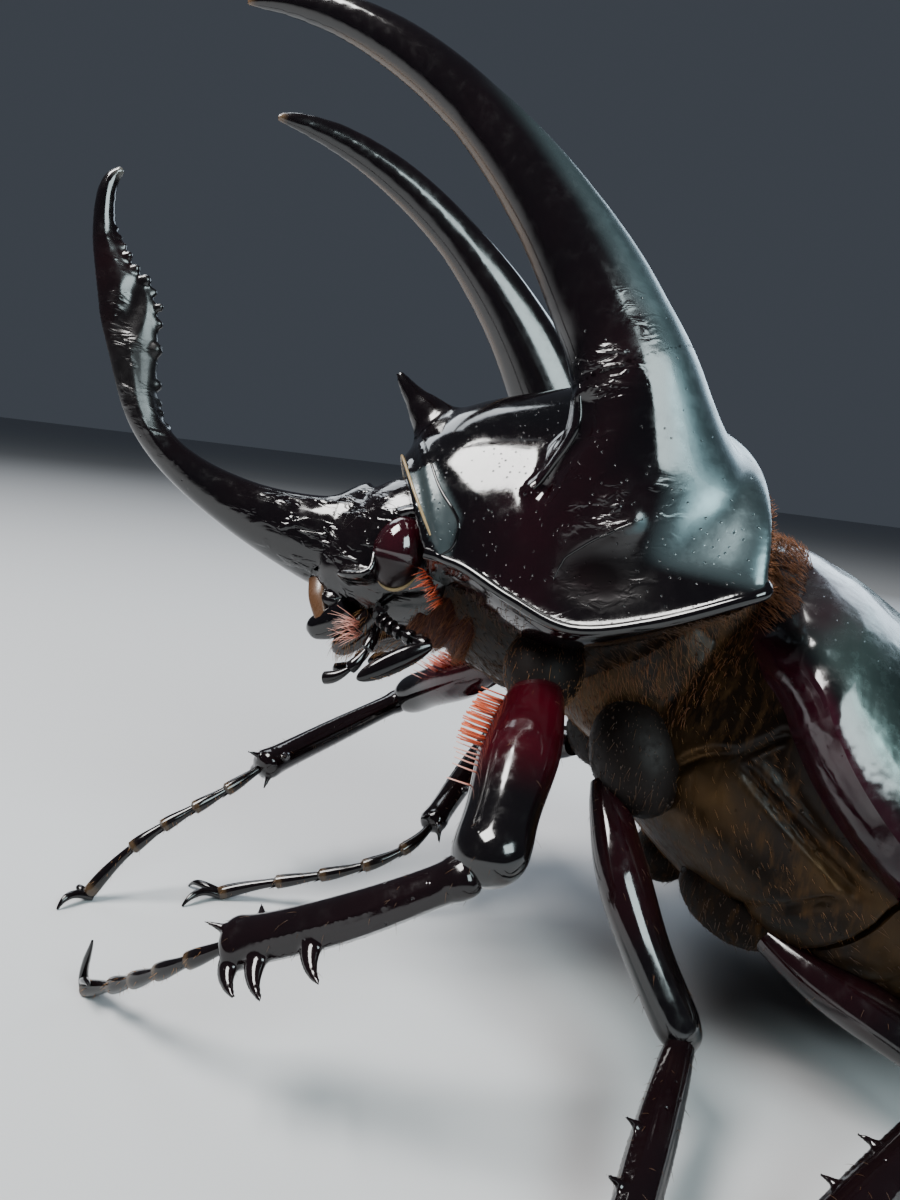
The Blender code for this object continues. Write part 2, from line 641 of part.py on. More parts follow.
def make_scutellum(hind, *neighbours):
    """A small rounded shield between the roots of the wing cases."""
    front, rear, half, front_top, rear_top, thickness = SCUTELLUM
    rim = []
    for k in range(SHIELD_STEPS + 1):
        share = k / SHIELD_STEPS
        rim.append((front + (rear - front) * share, half * (1 - share) ** 0.85 + 0.02, share))
    outline = [(x, y, share) for x, y, share in rim] + [(x, -y, share) for x, y, share in rim[::-1]]
    points = []
    for drop in (thickness, 0):
        for x, y, share in outline:
            points.append((x, y, front_top + (rear_top - front_top) * share - drop))
    count = len(outline)
    walls = [(k, (k + 1) % count, (k + 1) % count + count, k + count) for k in range(count)]
    crown = (front * 0.4 + rear * 0.6, 0.0, front_top * 0.4 + rear_top * 0.6 + SHIELD_CROWN)
    top = [(k + count, (k + 1) % count + count, 2 * count) for k in range(count)]
    faces = [tuple(range(count))] + walls + top
    seat(make_object("scutellum", points + [crown], faces, "black", hind), *neighbours)


def leg_point(point):
    return Vector(point) + Vector((*BODY_PLACE, 0.0))


def make_leg(name, joints, body_solids):
    """One leg: coxa, femur, toothed tibia, and a foot of small joints with two claws."""
    pair = name.split("_")[0]
    hip, knee, ankle, foot = (leg_point(p) for p in joints)
    thigh, knob, shin, shin_end = LEG_WIDTHS[pair]
    thigh_way = (knee - hip).normalized()
    shin_way = (ankle - knee).normalized()
    hinge = thigh_way.cross(shin_way).normalized()
    long_radius, short_radius = COXA_RADII[pair]
    turn = thigh_way.to_track_quat("X", "Z").to_matrix()
    coxa = ball("coxa_" + name, hip + Vector(COXA_SHIFT[pair]), (long_radius, short_radius, short_radius),
                turn, 6, 12, colour="black")
    seat(coxa, *body_solids)
    start = hip + thigh_way * (long_radius * HIP_SHARE[pair])
    femur = limb("femur_" + name, start, knee,
                 ((0, thigh * 0.62), (0.12, thigh * 0.8), (0.4, thigh), (0.72, thigh * 0.88),
                  (0.9, knob), (0.97, knob * 0.92), (1.03, knob * 0.6)), hinge, FEMUR_FLATNESS, 12,
                 FEMUR_BOW[pair], colour="maroon" if pair == "fore" else "black")
    seat(femur, coxa, *body_solids)
    shin_start = knee + shin_way * (knob * 0.35)
    tibia = limb("tibia_" + name, shin_start, ankle,
                 ((0, knob * 0.6), (0.14, shin * 0.92), (0.5, shin * 1.05), (0.85, shin_end * 0.9),
                  (0.95, shin_end), (1.0, shin_end * 0.72)), hinge, 0.8, 10, TIBIA_BOW[pair], colour="black")
    teeth = shin_teeth(pair, shin_start, ankle, shin, shin_end, hinge)
    tibia = seat(fuse("tibia_" + name, [tibia] + teeth), femur)
    make_foot(name, ankle, foot, shin_way, tibia)


def shin_teeth(pair, start, end, shin, shin_end, hinge):
    """Hooked teeth along the outer edge of the tibia, and spurs round its end."""
    along = (end - start).normalized()
    outer = along.cross(hinge).normalized()
    if outer.z > 0:
        outer = -outer
    teeth = []
    if pair == "fore":
        for share, length in FORE_TEETH:
            root = start.lerp(end, share) + outer * (shin * 0.35)
            controls = (root, root + outer * length * 0.5 + along * 0.7,
                        root + outer * length * 0.9 + along * 0.3,
                        root + outer * (length + shin * 0.6) - along * 0.7)
            teeth.append(curve_piece("tooth", controls, TOOTH_RADII, hinge, 0.7, 3, 6))
        root = start.lerp(end, 0.86) - outer * (shin_end * 0.3)
        teeth.append(spine(root, root - outer * (shin_end * 1.15) + along * 0.5, 0.6))
    else:
        for share in (0.45, 0.68):
            root = start.lerp(end, share) - outer * (shin * 0.3)
            teeth.append(spine(root, root - outer * (shin + 1.0) + along * 0.9, 0.5))
    spurs = ((0.0, 1.0), (1.0, 0.35), (-1.0, 0.35))
    for across, back in spurs[1 if pair == "fore" else 0:]:
        way = (hinge * across - outer * back).normalized()
        root = end - along * 1.0 + way * shin_end * 0.3
        teeth.append(spine(root, root + way * (shin_end * 0.9) + along * 1.9, 0.45))
    return teeth


def make_foot(name, ankle, foot, shin_way, tibia):
    """Small joints that curve down to the floor, and two claws; the lowest parts are flat on the floor."""
    bend = ankle + shin_way * (foot - ankle).length * 0.35
    near_rise, far_rise = FOOT_ARCH.get(name, (0.0, 0.0))
    path = (ankle - shin_way * 0.2, bend + Vector((0, 0, near_rise)),
            foot.lerp(ankle, 0.3) + Vector((0, 0, far_rise)), foot)
    pieces = [jointed_piece("tarsus", path, TARSUS_SHARES, 0.34, TARSUS_RADIUS, 7, colour="black")]
    way = (foot - bezier(path, 0.9)).normalized()
    ahead = Vector((way.x, way.y, 0)).normalized()
    left = Vector((-ahead.y, ahead.x, 0))
    for turn, (forward, across, rise) in zip((1, -1), CLAW_ENDS.get(name, PLAIN_CLAWS)):
        reach = ahead * forward + left * across
        controls = (foot - ahead * 0.5 + left * (turn * 0.13), foot + ahead * 1.0 + reach * 0.15 + CLAW_ARCH,
                    foot + reach * 0.8 + Vector((0, 0, rise * 0.6)) + CLAW_ARCH,
                    foot + reach + Vector((0, 0, rise)))
        pieces.append(curve_piece("claw", controls, CLAW_RADII, (0.3, 0.5, 1), 1.0, 4, 5))
    tarsus = fuse("tarsus_" + name, pieces)
    seat(tarsus, tibia)
    boolean(tarsus, [block_below_floor()], "DIFFERENCE")
    return tarsus


def block_below_floor():
    """A block whose top is the floor."""
    corners = [(x, y, z) for z in (-FLOOR_BLOCK, 0) for x, y in
               ((-FLOOR_BLOCK, -FLOOR_BLOCK), (FLOOR_BLOCK, -FLOOR_BLOCK), (FLOOR_BLOCK, FLOOR_BLOCK),
                (-FLOOR_BLOCK, FLOOR_BLOCK))]
    walls = [(k, (k + 1) % 4, (k + 1) % 4 + 4, k + 4) for k in range(4)]
    return make_object("below", corners, [(0, 1, 2, 3), (4, 5, 6, 7)] + walls)


def shade(target):
    target.data.shade_smooth()
    target.data.set_sharp_from_angle(angle=math.radians(40))


def main():
    for old in list(bpy.data.objects):
        bpy.data.objects.remove(old)
    fore, hind = body_frames()
    pronotum = make_pronotum(fore)
    make_pronotum_horns(fore, pronotum)
    head = make_head(fore, pronotum)
    make_cephalic_horn(fore, head)
    make_mouth_and_feelers(fore, head, pronotum)
    prosternum = make_prosternum(fore, pronotum, head)
    fore_solids = (pronotum, prosternum)
    cases = make_wing_cases(hind)
    thorax, abdomen = make_hind_body(hind, fore_solids, cases)
    make_scutellum(hind, thorax, *cases, *fore_solids)
    for name, joints in LEGS.items():
        make_leg(name, joints, (pronotum, prosternum, thorax, abdomen))
    for target in bpy.data.objects:
        if target.type == "MESH":
            shade(target)


main()
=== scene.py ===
"""Looks of a large horned male atlas beetle that stands reared up.

Lengths are in millimetres until a mesh is finished. The fore body (head, pronotum, horns) and the hind body
(thorax, abdomen, wing cases) are drawn in frames of their own: x forward, y to the beetle's left, z up from
the back. The legs are drawn where they stand. The head points to -Y and the left side to +X.
"""

import math

import bmesh
import bpy
import numpy as np
from mathutils import Matrix, Vector


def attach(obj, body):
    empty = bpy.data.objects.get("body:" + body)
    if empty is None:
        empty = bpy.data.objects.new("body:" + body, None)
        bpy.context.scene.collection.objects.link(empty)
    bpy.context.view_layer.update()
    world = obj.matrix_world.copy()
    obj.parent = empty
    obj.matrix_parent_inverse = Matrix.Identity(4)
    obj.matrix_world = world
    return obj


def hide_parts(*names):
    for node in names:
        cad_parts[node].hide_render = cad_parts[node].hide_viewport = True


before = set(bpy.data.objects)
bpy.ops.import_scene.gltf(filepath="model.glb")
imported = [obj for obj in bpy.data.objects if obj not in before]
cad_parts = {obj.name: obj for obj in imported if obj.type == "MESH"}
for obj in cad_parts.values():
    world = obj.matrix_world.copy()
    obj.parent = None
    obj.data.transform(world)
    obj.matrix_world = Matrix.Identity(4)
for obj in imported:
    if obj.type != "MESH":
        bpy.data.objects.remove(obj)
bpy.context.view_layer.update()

MM = 0.001
BODY = "root"
SEED = 11
SIDES = ((1, "left"), (-1, "right"))

# Stance
FORE_PITCH = math.radians(9.3)
ROLL = math.radians(9.4)
HIND_PITCH = math.radians(26.9)
BODY_PLACE = (-7.6, 4.05, 32.6)
HIND_ORIGIN = (-1.0, 0.0, -1.0)

# Camera, from the photo
CAMERA_PLACE = (66.004, -15.470, 41.144)
CAMERA_RIGHT = (0.0028, 0.9926, 0.1211)
CAMERA_UP = (-0.1498, -0.1193, 0.9815)
CAMERA_BACK = (0.9887, -0.0209, 0.1484)
CAMERA_LENS = 27.42
CAMERA_SENSOR = 36.0
CAMERA_REACH = (0.002, 20.0)

# Stage: the floor's radius in metres, and the sky
FLOOR_REACH = 4.0
FLOOR_POINTS = 96
FLOOR_COLOUR = (0.48, 0.48, 0.49, 1)
FLOOR_ROUGHNESS = 0.9
SKY_COLOUR = (0.60, 0.70, 0.86, 1)
SKY_STRENGTH = 0.085
# Lamps: place, aim, size in metres, power, colour
LAMPS = (
    ("key", (0.045, -0.215, 0.385), (0.0, -0.012, 0.035), (0.20, 0.17), 3.6, (1.0, 0.985, 0.96)),
    ("flank", (0.262, 0.165, 0.265), (0.005, 0.0, 0.035), (0.20, 0.18), 1.6, (0.76, 0.93, 0.95)),
    ("rim", (-0.420, -0.240, 0.460), (0.0, -0.02, 0.045), (0.24, 0.28), 0.9, (0.88, 0.94, 1.0)),
    ("back", (-0.260, 0.235, 0.215), (0.0, 0.005, 0.035), (0.26, 0.20), 0.9, (0.72, 0.86, 1.0)),
)

# Pronotum: x of the side edge, lean of the top, half width, edge height, top height
PRONOTUM_ROWS = (
    (0.6, -0.6, 17.3, 1.2, 11.0),
    (-0.2, 0.2, 18.7, 0.2, 12.0),
    (1.2, 0.4, 18.9, -0.9, 13.2),
    (5.6, 0.2, 17.3, -3.6, 14.6),
    (10.0, 0.6, 15.1, -5.3, 14.4),
    (14.0, 1.6, 12.7, -4.4, 12.4),
    (17.2, 3.6, 10.6, -3.2, 9.6),
    (18.8, 4.4, 9.4, -2.9, 6.6),
    (19.4, 4.3, 8.9, -2.8, 5.3),
    (20.4, 3.9, 8.7, -2.8, 4.6),
)
PRONOTUM_UNDER = 2.2
# Points round a ring of the pronotum, and radii of its beads
SHIELD_AROUND = 132
SIDE_RIM, REAR_RIM, COLLAR_RIM, MARGIN_BEAD = 0.36, 0.34, 0.30, 0.42
COLLAR_SHARE = 0.80
# Size of the grid that grows overlapping shapes together
FORE_GRID, HEAD_GRID, THORAX_GRID, SHIN_GRID = 0.26, 0.17, 0.30, 0.15
HORN_PATH = ((9.4, 13.2, 10.9), (18.4, 11.6, 25.6), (33.8, 10.6, 34.3), (43.6, 7.7, 31.7))
HORN_ROOTS = ((6.2, 10.4, 1.0), (7.4, 12.2, 6.0))
HORN_ROOT_RADII = (8.2, 6.8)
HORN_RADII = ((0.0, 4.9), (0.1, 4.0), (0.28, 3.0), (0.48, 2.1), (0.66, 1.75), (0.84, 1.25), (0.95, 0.75),
              (1.0, 0.3))
HORN_FLATNESS = 0.74
MEDIAN_PATH = ((20.2, 0.0, 6.0), (22.6, 0.0, 8.6), (24.6, 0.0, 9.2), (26.4, 0.0, 11.2))
MEDIAN_RADII = ((0.0, 3.2), (0.35, 2.1), (0.65, 1.0), (0.9, 0.55), (1.0, 0.3))
# Lines on the left of the pronotum: the fold before the horn's root, the hollow's lip, the collar's edge
CRESCENT = ((13.7, 14.2, 10.4), (13.2, 14.5, 8.1), (13.2, 14.2, 6.9), (13.7, 12.4, 4.7), (14.9, 11.3, 2.6))
HOLLOW_LIP = ((11.6, 13.6, -2.4), (11.4, 13.9, -1.0), (10.8, 14.7, 0.1), (9.9, 15.8, 1.0), (8.8, 16.4, 1.8),
              (7.6, 16.7, 2.8))
COLLAR_EDGE = ((22.9, 2.6, 6.2), (21.9, 5.2, 4.2), (20.4, 7.6, 2.0), (18.9, 9.6, 0.3), (18.5, 10.0, -1.0),
               (18.8, 9.7, -2.2), (19.5, 9.1, -2.8))

# Head, and its horn: x and z of the middle line, half depth, half width
HEAD_ROWS = (
    (16.6, 5.0, -6.4, 1.6),
    (18.6, 6.1, -8.2, 3.0),
    (21.4, 6.3, -9.0, 3.6),
    (23.8, 5.7, -8.9, 3.0),
    (25.6, 4.6, -8.5, 1.6),
    (27.0, 3.7, -7.9, -0.4),
    (27.8, 3.0, -7.3, -2.6),
)
CEPHALIC_ROWS = (
    (24.4, -2.4, 4.9, 3.4),
    (27.4, -3.4, 4.0, 3.0),
    (30.8, -3.4, 3.1, 2.4),
    (35.1, -2.8, 2.25, 1.8),
    (39.6, -1.5, 1.6, 1.4),
    (43.0, 0.3, 1.3, 1.15),
    (45.3, 2.8, 1.4, 1.05),
    (47.1, 7.0, 2.0, 0.95),
    (48.4, 9.9, 2.25, 0.9),
    (50.3, 12.6, 1.5, 0.8),
    (51.7, 15.0, 0.98, 0.7),
    (52.4, 17.6, 0.8, 0.6),
    (52.4, 19.3, 0.65, 0.5),
    (51.8, 20.4, 0.3, 0.3),
)
# Knobs along the rear edge of the head's horn: share of the way, size, height over the edge
COMB = ((0.40, 0.28, 0.25), (0.43, 0.34, 0.34), (0.455, 0.40, 0.32), (0.485, 0.56, 0.45), (0.53, 0.56, 0.40),
        (0.575, 0.40, 0.42), (0.605, 0.34, 0.62), (0.63, 0.34, 0.42), (0.65, 0.46, 0.52), (0.675, 0.36, 0.36),
        (0.705, 0.38, 0.42), (0.73, 0.32, 0.32), (0.755, 0.28, 0.26), (0.78, 0.22, 0.2))
# The cheek plate before the eye, its raised edge up the eye's front, and the ridge over the eye
CHEEK_PLATE = (24.8, 5.2, -5.6)
CHEEK_EDGE = ((26.3, 4.9, -5.9), (25.0, 6.6, -5.6), (23.9, 6.9, -5.0), (23.9, 6.2, -3.6))
EYE_RIDGE = ((24.3, 4.6, -2.6), (23.2, 5.4, -0.6), (21.6, 5.9, 0.2), (20.2, 6.2, -0.9))
EYE_PLACE = (22.2, 5.6, -3.2)
EYE_RADII = (2.0, 2.1, 2.85)
# Parts of the mouth: root and tip, then radii along them
JAW = (((24.6, 2.9, -8.3), (27.4, 2.1, -10.6)),
       ((0, 1.3), (0.5, 1.25), (0.8, 1.0), (0.95, 0.7), (1.03, 0.2)))
JAW_LOBE = (((22.6, 3.3, -8.2), (25.0, 2.6, -11.6)),
            ((0, 1.2), (0.5, 1.1), (0.8, 0.9), (0.95, 0.6), (1.02, 0.2)))
LOWER_LIP = (((19.0, 0, -8.2), (23.8, 0, -10.8)),
             ((0, 2.2), (0.5, 2.1), (0.85, 1.5), (0.97, 0.9), (1.02, 0.2)))
MOUTH_WALL = ((27.9, 1.7, -6.5), (27.5, 2.5, -8.0), (26.7, 3.0, -9.4))
PALP = ((22.3, 3.9, -8.4), (22.2, 5.9, -11.0), (23.4, 5.8, -13.2), (25.1, 4.9, -13.6))
# The feeler: its root, its bend, the rear end of its club and the club's tip
FEELER = ((22.6, 4.6, -7.2), (22.2, 7.2, -8.4), (18.4, 9.2, -9.1), (22.4, 9.6, -12.5))
# The plate under the fore body: x, half width, lowest height
THROAT_ROWS = ((1.4, 9.5, -7.2), (4.5, 10.6, -9.2), (9.5, 9.8, -10.2), (14.0, 8.0, -9.6), (18.2, 6.2, -8.0))

# Hind body: x, half width over the wing cases, edge height, top height, belly height
HIND_ROWS = (
    (0.8, 13.6, 0.6, 7.2, -12.2),
    (-1.6, 16.2, -0.4, 8.9, -13.4),
    (-5.5, 18.6, -1.7, 10.2, -14.5),
    (-9.9, 20.1, -4.1, 10.7, -15.1),
    (-14.5, 21.0, -5.5, 10.9, -15.6),
    (-20.0, 21.4, -6.1, 10.6, -15.6),
    (-26.0, 20.8, -6.1, 9.7, -14.6),
    (-32.0, 18.9, -5.5, 8.0, -12.6),
    (-37.5, 15.6, -4.5, 5.6, -9.7),
    (-41.5, 11.4, -3.5, 3.2, -7.0),
    (-44.0, 6.8, -2.6, 0.9, -4.6),
)
WING_CASE_THICKNESS = 0.85
EPIPLEURON = (2.7, 1.5)
SHOULDER_SLANT = 3.0
SHOULDER_LENGTH = 7.0
GAP = 0.3
# Scutellum: front and rear x, half width, top height at the front and at the rear
SCUTELLUM = (1.6, -4.4, 3.4, 7.8, 10.2)
# Seams between the plates of the thorax, on its left and along its middle
THORAX_SEAMS = (
    ((-7.5, 14.95, -3.4), (-7.2, 14.9, -4.2), (-6.6, 14.3, -5.8), (-6.3, 13.3, -7.0), (-5.2, 12.4, -8.3),
     (-4.8, 11.4, -9.4), (-4.5, 10.0, -11.6)),
    ((-6.3, 13.3, -7.4), (-9.3, 15.0, -8.1), (-12.7, 15.9, -8.5), (-17.6, 16.6, -8.8)),
    ((-14.2, 5.0, -15.4), (-14.7, 10.3, -14.4), (-15.5, 14.8, -11.7), (-16.5, 16.4, -9.2)),
    ((-1.5, 0.0, -13.5), (-9.0, 0.0, -15.2), (-18.5, 0.0, -15.6)),
)

FOOT_LIFT = 0.36
# Legs: hip, knee, ankle and foot, before the body's place is added
LEGS = {
    "fore_left": ((9.7, -10.9, 27.4), (23.6, -14.5, 18.3), (19.9, -29.6, 9.6), (11.9, -41.2, 0.24)),
    "fore_right": ((-6.9, -11.3, 24.7), (-19.0, -20.5, 16.8), (-7.8, -33.4, 11.2), (-1.0, -46.1, FOOT_LIFT)),
    "mid_left": ((9.8, -5.6, 20.3), (19.8, -0.1, 6.7), (34.7, -6.8, 2.3), (51.9, -14.9, FOOT_LIFT)),
    "mid_right": ((-5.1, -4.8, 17.8), (-20.6, -9.8, 15.6), (-7.6, -17.1, 7.5), (-3.9, -35.5, FOOT_LIFT)),
    "hind_left": ((10.9, 4.9, 12.0), (22.0, 17.5, 7.0), (32.5, 3.5, 2.9), (47.0, 0.5, FOOT_LIFT)),
    "hind_right": ((-4.2, 3.9, 9.2), (-20.5, 8.5, 7.0), (-29.5, 24.0, 4.5), (-37.0, 38.0, FOOT_LIFT)),
}
LEGS_PLACE = np.array((*BODY_PLACE[:2], 0.0))
# Half widths of each leg's femur, knee, tibia and tibia's end
LEG_WIDTHS = {"fore": (2.8, 2.5, 1.45, 1.8), "mid": (2.15, 1.85, 1.35, 1.5), "hind": (2.2, 1.75, 1.2, 1.6)}
FEMUR_FLATNESS = 0.8
FEMUR_BOW = {"fore": 0.0, "mid": 1.5, "hind": 0.3}
TIBIA_BOW = {"fore": -0.6, "mid": 0.0, "hind": 0.0}
COXA_RADII = {"fore": (3.4, 2.9), "mid": (4.4, 3.3), "hind": (4.2, 2.6)}
COXA_SHIFT = {"fore": (0.0, 0.0, 0.0), "mid": (0.0, 2.2, 1.4), "hind": (0.0, 0.0, 0.0)}
HIP_SHARE = {"fore": 0.55, "mid": 0.2, "hind": 0.55}
FORE_TEETH = ((0.6, 3.4), (0.83, 3.4), (0.95, 2.7))
CLAW_ENDS = {
    "fore_left": ((-1.3, 0.5, 4.5), (-2.4, 1.3, 1.9)),
    "fore_right": ((2.4, 1.2, -0.3), (0.4, -1.4, -0.3)),
}
PLAIN_CLAWS = ((2.7, 1.9, -0.3), (2.7, -1.9, -0.3))
CLAW_RADII = ((0, 0.42), (0.6, 0.32), (1, 0.1))
CLAW_ARCH = np.array((0, 0, 0.8))
FOOT_ARCH = {"fore_right": (-1.6, 3.2), "fore_left": (-0.6, -0.8)}
TARSUS_SHARES = (0.02, 0.2, 0.38, 0.56, 0.74, 1.0)


# Frames

def body_frames():
    """Matrices from the fore body's frame and the hind body's frame to the world, in millimetres."""
    forward = Vector((0, -math.cos(FORE_PITCH), math.sin(FORE_PITCH)))
    upright = Vector((0, math.sin(FORE_PITCH), math.cos(FORE_PITCH)))
    left = Vector((math.cos(ROLL), 0, 0)) + upright * math.sin(ROLL)
    turn = Matrix((forward, left, forward.cross(left))).transposed()
    fore = Matrix.Translation(BODY_PLACE) @ turn.to_4x4()
    hind = fore @ Matrix.Translation(HIND_ORIGIN) @ Matrix.Rotation(-HIND_PITCH, 4, "Y")
    return np.array(fore), np.array(hind)


FORE, HIND = body_frames()
STANDING = np.eye(4)


def moved(points, matrix):
    points = np.asarray(points, float)
    return points @ matrix[:3, :3].T + matrix[:3, 3]


def unit(vector):
    vector = np.asarray(vector, float)
    return vector / (np.linalg.norm(vector, axis=-1, keepdims=True) + 1e-12)


def mirrored(places, side):
    """Places given for the left, on the left or on the right."""
    return np.asarray(places, float) * np.array((1, side, 1))


def smooth_rows(rows, per_span):
    """Rows read off a smooth curve through the given rows, ends included."""
    rows = np.array(rows, float)
    padded = np.vstack([2 * rows[0] - rows[1], rows, 2 * rows[-1] - rows[-2]])
    made = []
    for i in range(len(rows) - 1):
        a, b, c, d = padded[i:i + 4]
        for t in np.arange(per_span) / per_span:
            made.append(0.5 * (2 * b + (c - a) * t + (2 * a - 5 * b + 4 * c - d) * t ** 2
                               + (3 * b - a - 3 * c + d) * t ** 3))
    made.append(rows[-1])
    return np.array(made)


def row_at(rows, x):
    """The row at one x of a table whose first column is x."""
    table = smooth_rows(rows, 6)
    table = table[np.argsort(table[:, 0])]
    return [x] + [float(np.interp(x, table[:, 0], table[:, k])) for k in range(1, table.shape[1])]


def bezier(controls, t):
    """Points of the cubic curve with these four control points."""
    a, b, c, d = (np.asarray(p, float) for p in controls)
    t = np.asarray(t, float)[..., None]
    s = 1 - t
    return a * s ** 3 + b * 3 * s * s * t + c * 3 * s * t * t + d * t ** 3


def bump(value, centre, width):
    """A soft hill of height one."""
    return np.exp(-((np.asarray(value, float) - centre) / width) ** 2)


def step(value, low, high):
    """A soft step from zero to one."""
    t = np.clip((np.asarray(value, float) - low) / (high - low), 0, 1)
    return t * t * (3 - 2 * t)


# Shapes: a pair of points and faces

def section_at(x, across, height):
    """Points of a cross-section; x may be one number for all of them."""
    return np.stack(np.broadcast_arrays(x, across, height), -1)


def loft(rings):
    """A closed skin over rings of as many points each, with a fan at both ends."""
    rings = np.asarray(rings, float)
    count, around = rings.shape[:2]
    here = np.arange(count - 1)[:, None] * around + np.arange(around)
    after = np.arange(count - 1)[:, None] * around + (np.arange(around) + 1) % around
    faces = np.stack([here, after, after + around, here + around], -1).reshape(-1, 4).tolist()
    points = np.vstack([rings.reshape(-1, 3), rings[0].mean(0), rings[-1].mean(0)])
    last = (count - 1) * around
    for k in range(around):
        faces.append([(k + 1) % around, k, len(points) - 2])
        faces.append([last + k, last + (k + 1) % around, len(points) - 1])
    return points, faces


def joined(shapes):
    points, faces, start = [], [], 0
    for some, sides in shapes:
        points.append(np.asarray(some, float))
        faces += [[i + start for i in side] for side in sides]
        start += len(some)
    return np.vstack(points), faces


def turn_angles(count):
    """The angles of as many even steps round a full turn."""
    return 2 * np.pi * np.arange(count) / count


def path_frames(path, side):
    """Unit vectors along a path, to its flat side, and across both."""
    path = np.asarray(path, float)
    ahead = np.vstack([path[1:2] - path[:1], path[2:] - path[:-2], path[-1:] - path[-2:-1]])
    along = unit(ahead)
    side = np.asarray(side, float)
    flat = unit(side - along * (along @ side)[:, None])
    return along, flat, np.cross(along, flat)


def sweep(path, tall_radii, flat_radii, side, around=32, section=None):
    """Rings along a path. A section may change the radius by angle and share of the way."""
    path = np.asarray(path, float)
    flat, tall = path_frames(path, side)[1:]
    angles = turn_angles(around)
    shares = np.linspace(0, 1, len(path))
    rings = []
    for k, here in enumerate(path):
        scale = section(angles, shares[k]) if section else np.ones(around)
        rings.append(here + flat[k] * (np.cos(angles) * flat_radii[k] * scale)[:, None]
                     + tall[k] * (np.sin(angles) * tall_radii[k] * scale)[:, None])
    return np.array(rings)


def tube(path, radius, around=10):
    path = np.asarray(path, float)
    radii = np.full(len(path), radius, float) if np.isscalar(radius) else np.asarray(radius, float)
    return loft(sweep(path, radii, radii, (0.13, 0.31, 0.94), around))


def ball(centre, radii, turn=None, rows=16, around=24):
    """An ellipsoid, turned if a rotation is given."""
    tilt = np.pi * np.arange(1, rows) / rows
    angle = turn_angles(around)
    local = np.stack([np.outer(np.sin(tilt), np.cos(angle)) * radii[0],
                      np.outer(np.sin(tilt), np.sin(angle)) * radii[1],
                      np.outer(np.cos(tilt), np.ones(around)) * radii[2]], -1)
    turn = np.eye(3) if turn is None else np.asarray(turn, float)
    centre = np.asarray(centre, float)
    points, faces = loft(local @ turn.T + centre)
    points[-2] = centre + turn @ np.array((0, 0, radii[2]))
    points[-1] = centre + turn @ np.array((0, 0, -radii[2]))
    return points, faces


def pointing(direction, up="Z", other="Y"):
    """A rotation that turns an axis to a direction."""
    return np.array(Vector(direction).to_track_quat(up, other).to_matrix())


def mesh_of(shape):
    points, faces = shape
    mesh = bpy.data.meshes.new("shape")
    mesh.from_pydata([tuple(p) for p in np.asarray(points)], [], [tuple(f) for f in faces])
    mesh.update()
    return mesh


def new_object(name, data):
    """An object that is linked to the scene."""
    made = bpy.data.objects.new(name, data)
    bpy.context.scene.collection.objects.link(made)
    return made


def finished_mesh(target):
    """The target's mesh with its modifiers applied; the target is removed."""
    bpy.context.view_layer.update()
    mesh = bpy.data.meshes.new_from_object(target.evaluated_get(bpy.context.evaluated_depsgraph_get()))
    bpy.data.objects.remove(target)
    return mesh


def arrays_of(mesh):
    points = np.empty(len(mesh.vertices) * 3)
    mesh.vertices.foreach_get("co", points)
    return points.reshape(-1, 3), [list(face.vertices) for face in mesh.polygons]


def grown_together(shape, voxel):
    """One even skin round overlapping closed shapes."""
    target = new_object("lump", mesh_of(shape))
    modifier = target.modifiers.new("skin", "REMESH")
    modifier.mode = "VOXEL"
    modifier.voxel_size = voxel
    mesh = finished_mesh(target)
    made = arrays_of(mesh)
    bpy.data.meshes.remove(mesh)
    return made


def edges_of(faces):
    pairs = np.array([(face[i], face[(i + 1) % len(face)]) for face in faces for i in range(len(face))])
    return np.unique(np.sort(pairs, axis=1), axis=0)


def relaxed(points, edges, rounds, weight=1.0, keep=0.0):
    """Points drawn towards their neighbours, and pushed back by a share to keep the bulk."""
    points = points.copy()
    one, two = edges[:, 0], edges[:, 1]
    size = len(points)
    count = np.bincount(one, minlength=size) + np.bincount(two, minlength=size)
    weight = np.broadcast_to(np.asarray(weight, float), (size,))[:, None]

    def pull():
        drawn = np.stack([np.bincount(one, points[two, k], size) + np.bincount(two, points[one, k], size)
                          for k in range(3)], -1)
        return drawn / count[:, None] - points

    for _ in range(rounds):
        points += pull() * 0.5 * weight
        if keep:
            points -= pull() * 0.5 * keep * weight
    return points


def normals_of(points, faces):
    mesh = mesh_of((points, faces))
    normals = np.empty(len(points) * 3)
    mesh.vertices.foreach_get("normal", normals)
    bpy.data.meshes.remove(mesh)
    return normals.reshape(-1, 3)


def dented(points, normals, centre, radii, depth):
    """Points pushed in along their normals within an ellipsoid; a negative depth raises them."""
    reach = np.linalg.norm((points - np.asarray(centre, float)) / np.asarray(radii, float), axis=1)
    return points - normals * (depth * np.clip(1 - reach ** 2, 0, 1)[:, None] ** 2)


def near_path(points, path):
    """For each point, its distance to a path, the share of the way there, and its offset from the path."""
    path = np.asarray(path, float)
    best, share, offset = np.full(len(points), 1e9), np.zeros(len(points)), np.zeros((len(points), 3))
    lengths = np.concatenate([[0], np.cumsum(np.linalg.norm(np.diff(path, axis=0), axis=1))])
    for k in range(len(path) - 1):
        a, way = path[k], path[k + 1] - path[k]
        t = np.clip((points - a) @ way / (way @ way), 0, 1)
        away = points - a - t[:, None] * way
        gap = np.linalg.norm(away, axis=1)
        closer = gap < best
        best[closer] = gap[closer]
        offset[closer] = away[closer]
        share[closer] = ((lengths[k] + t * (lengths[k + 1] - lengths[k])) / lengths[-1])[closer]
    return best, share, offset


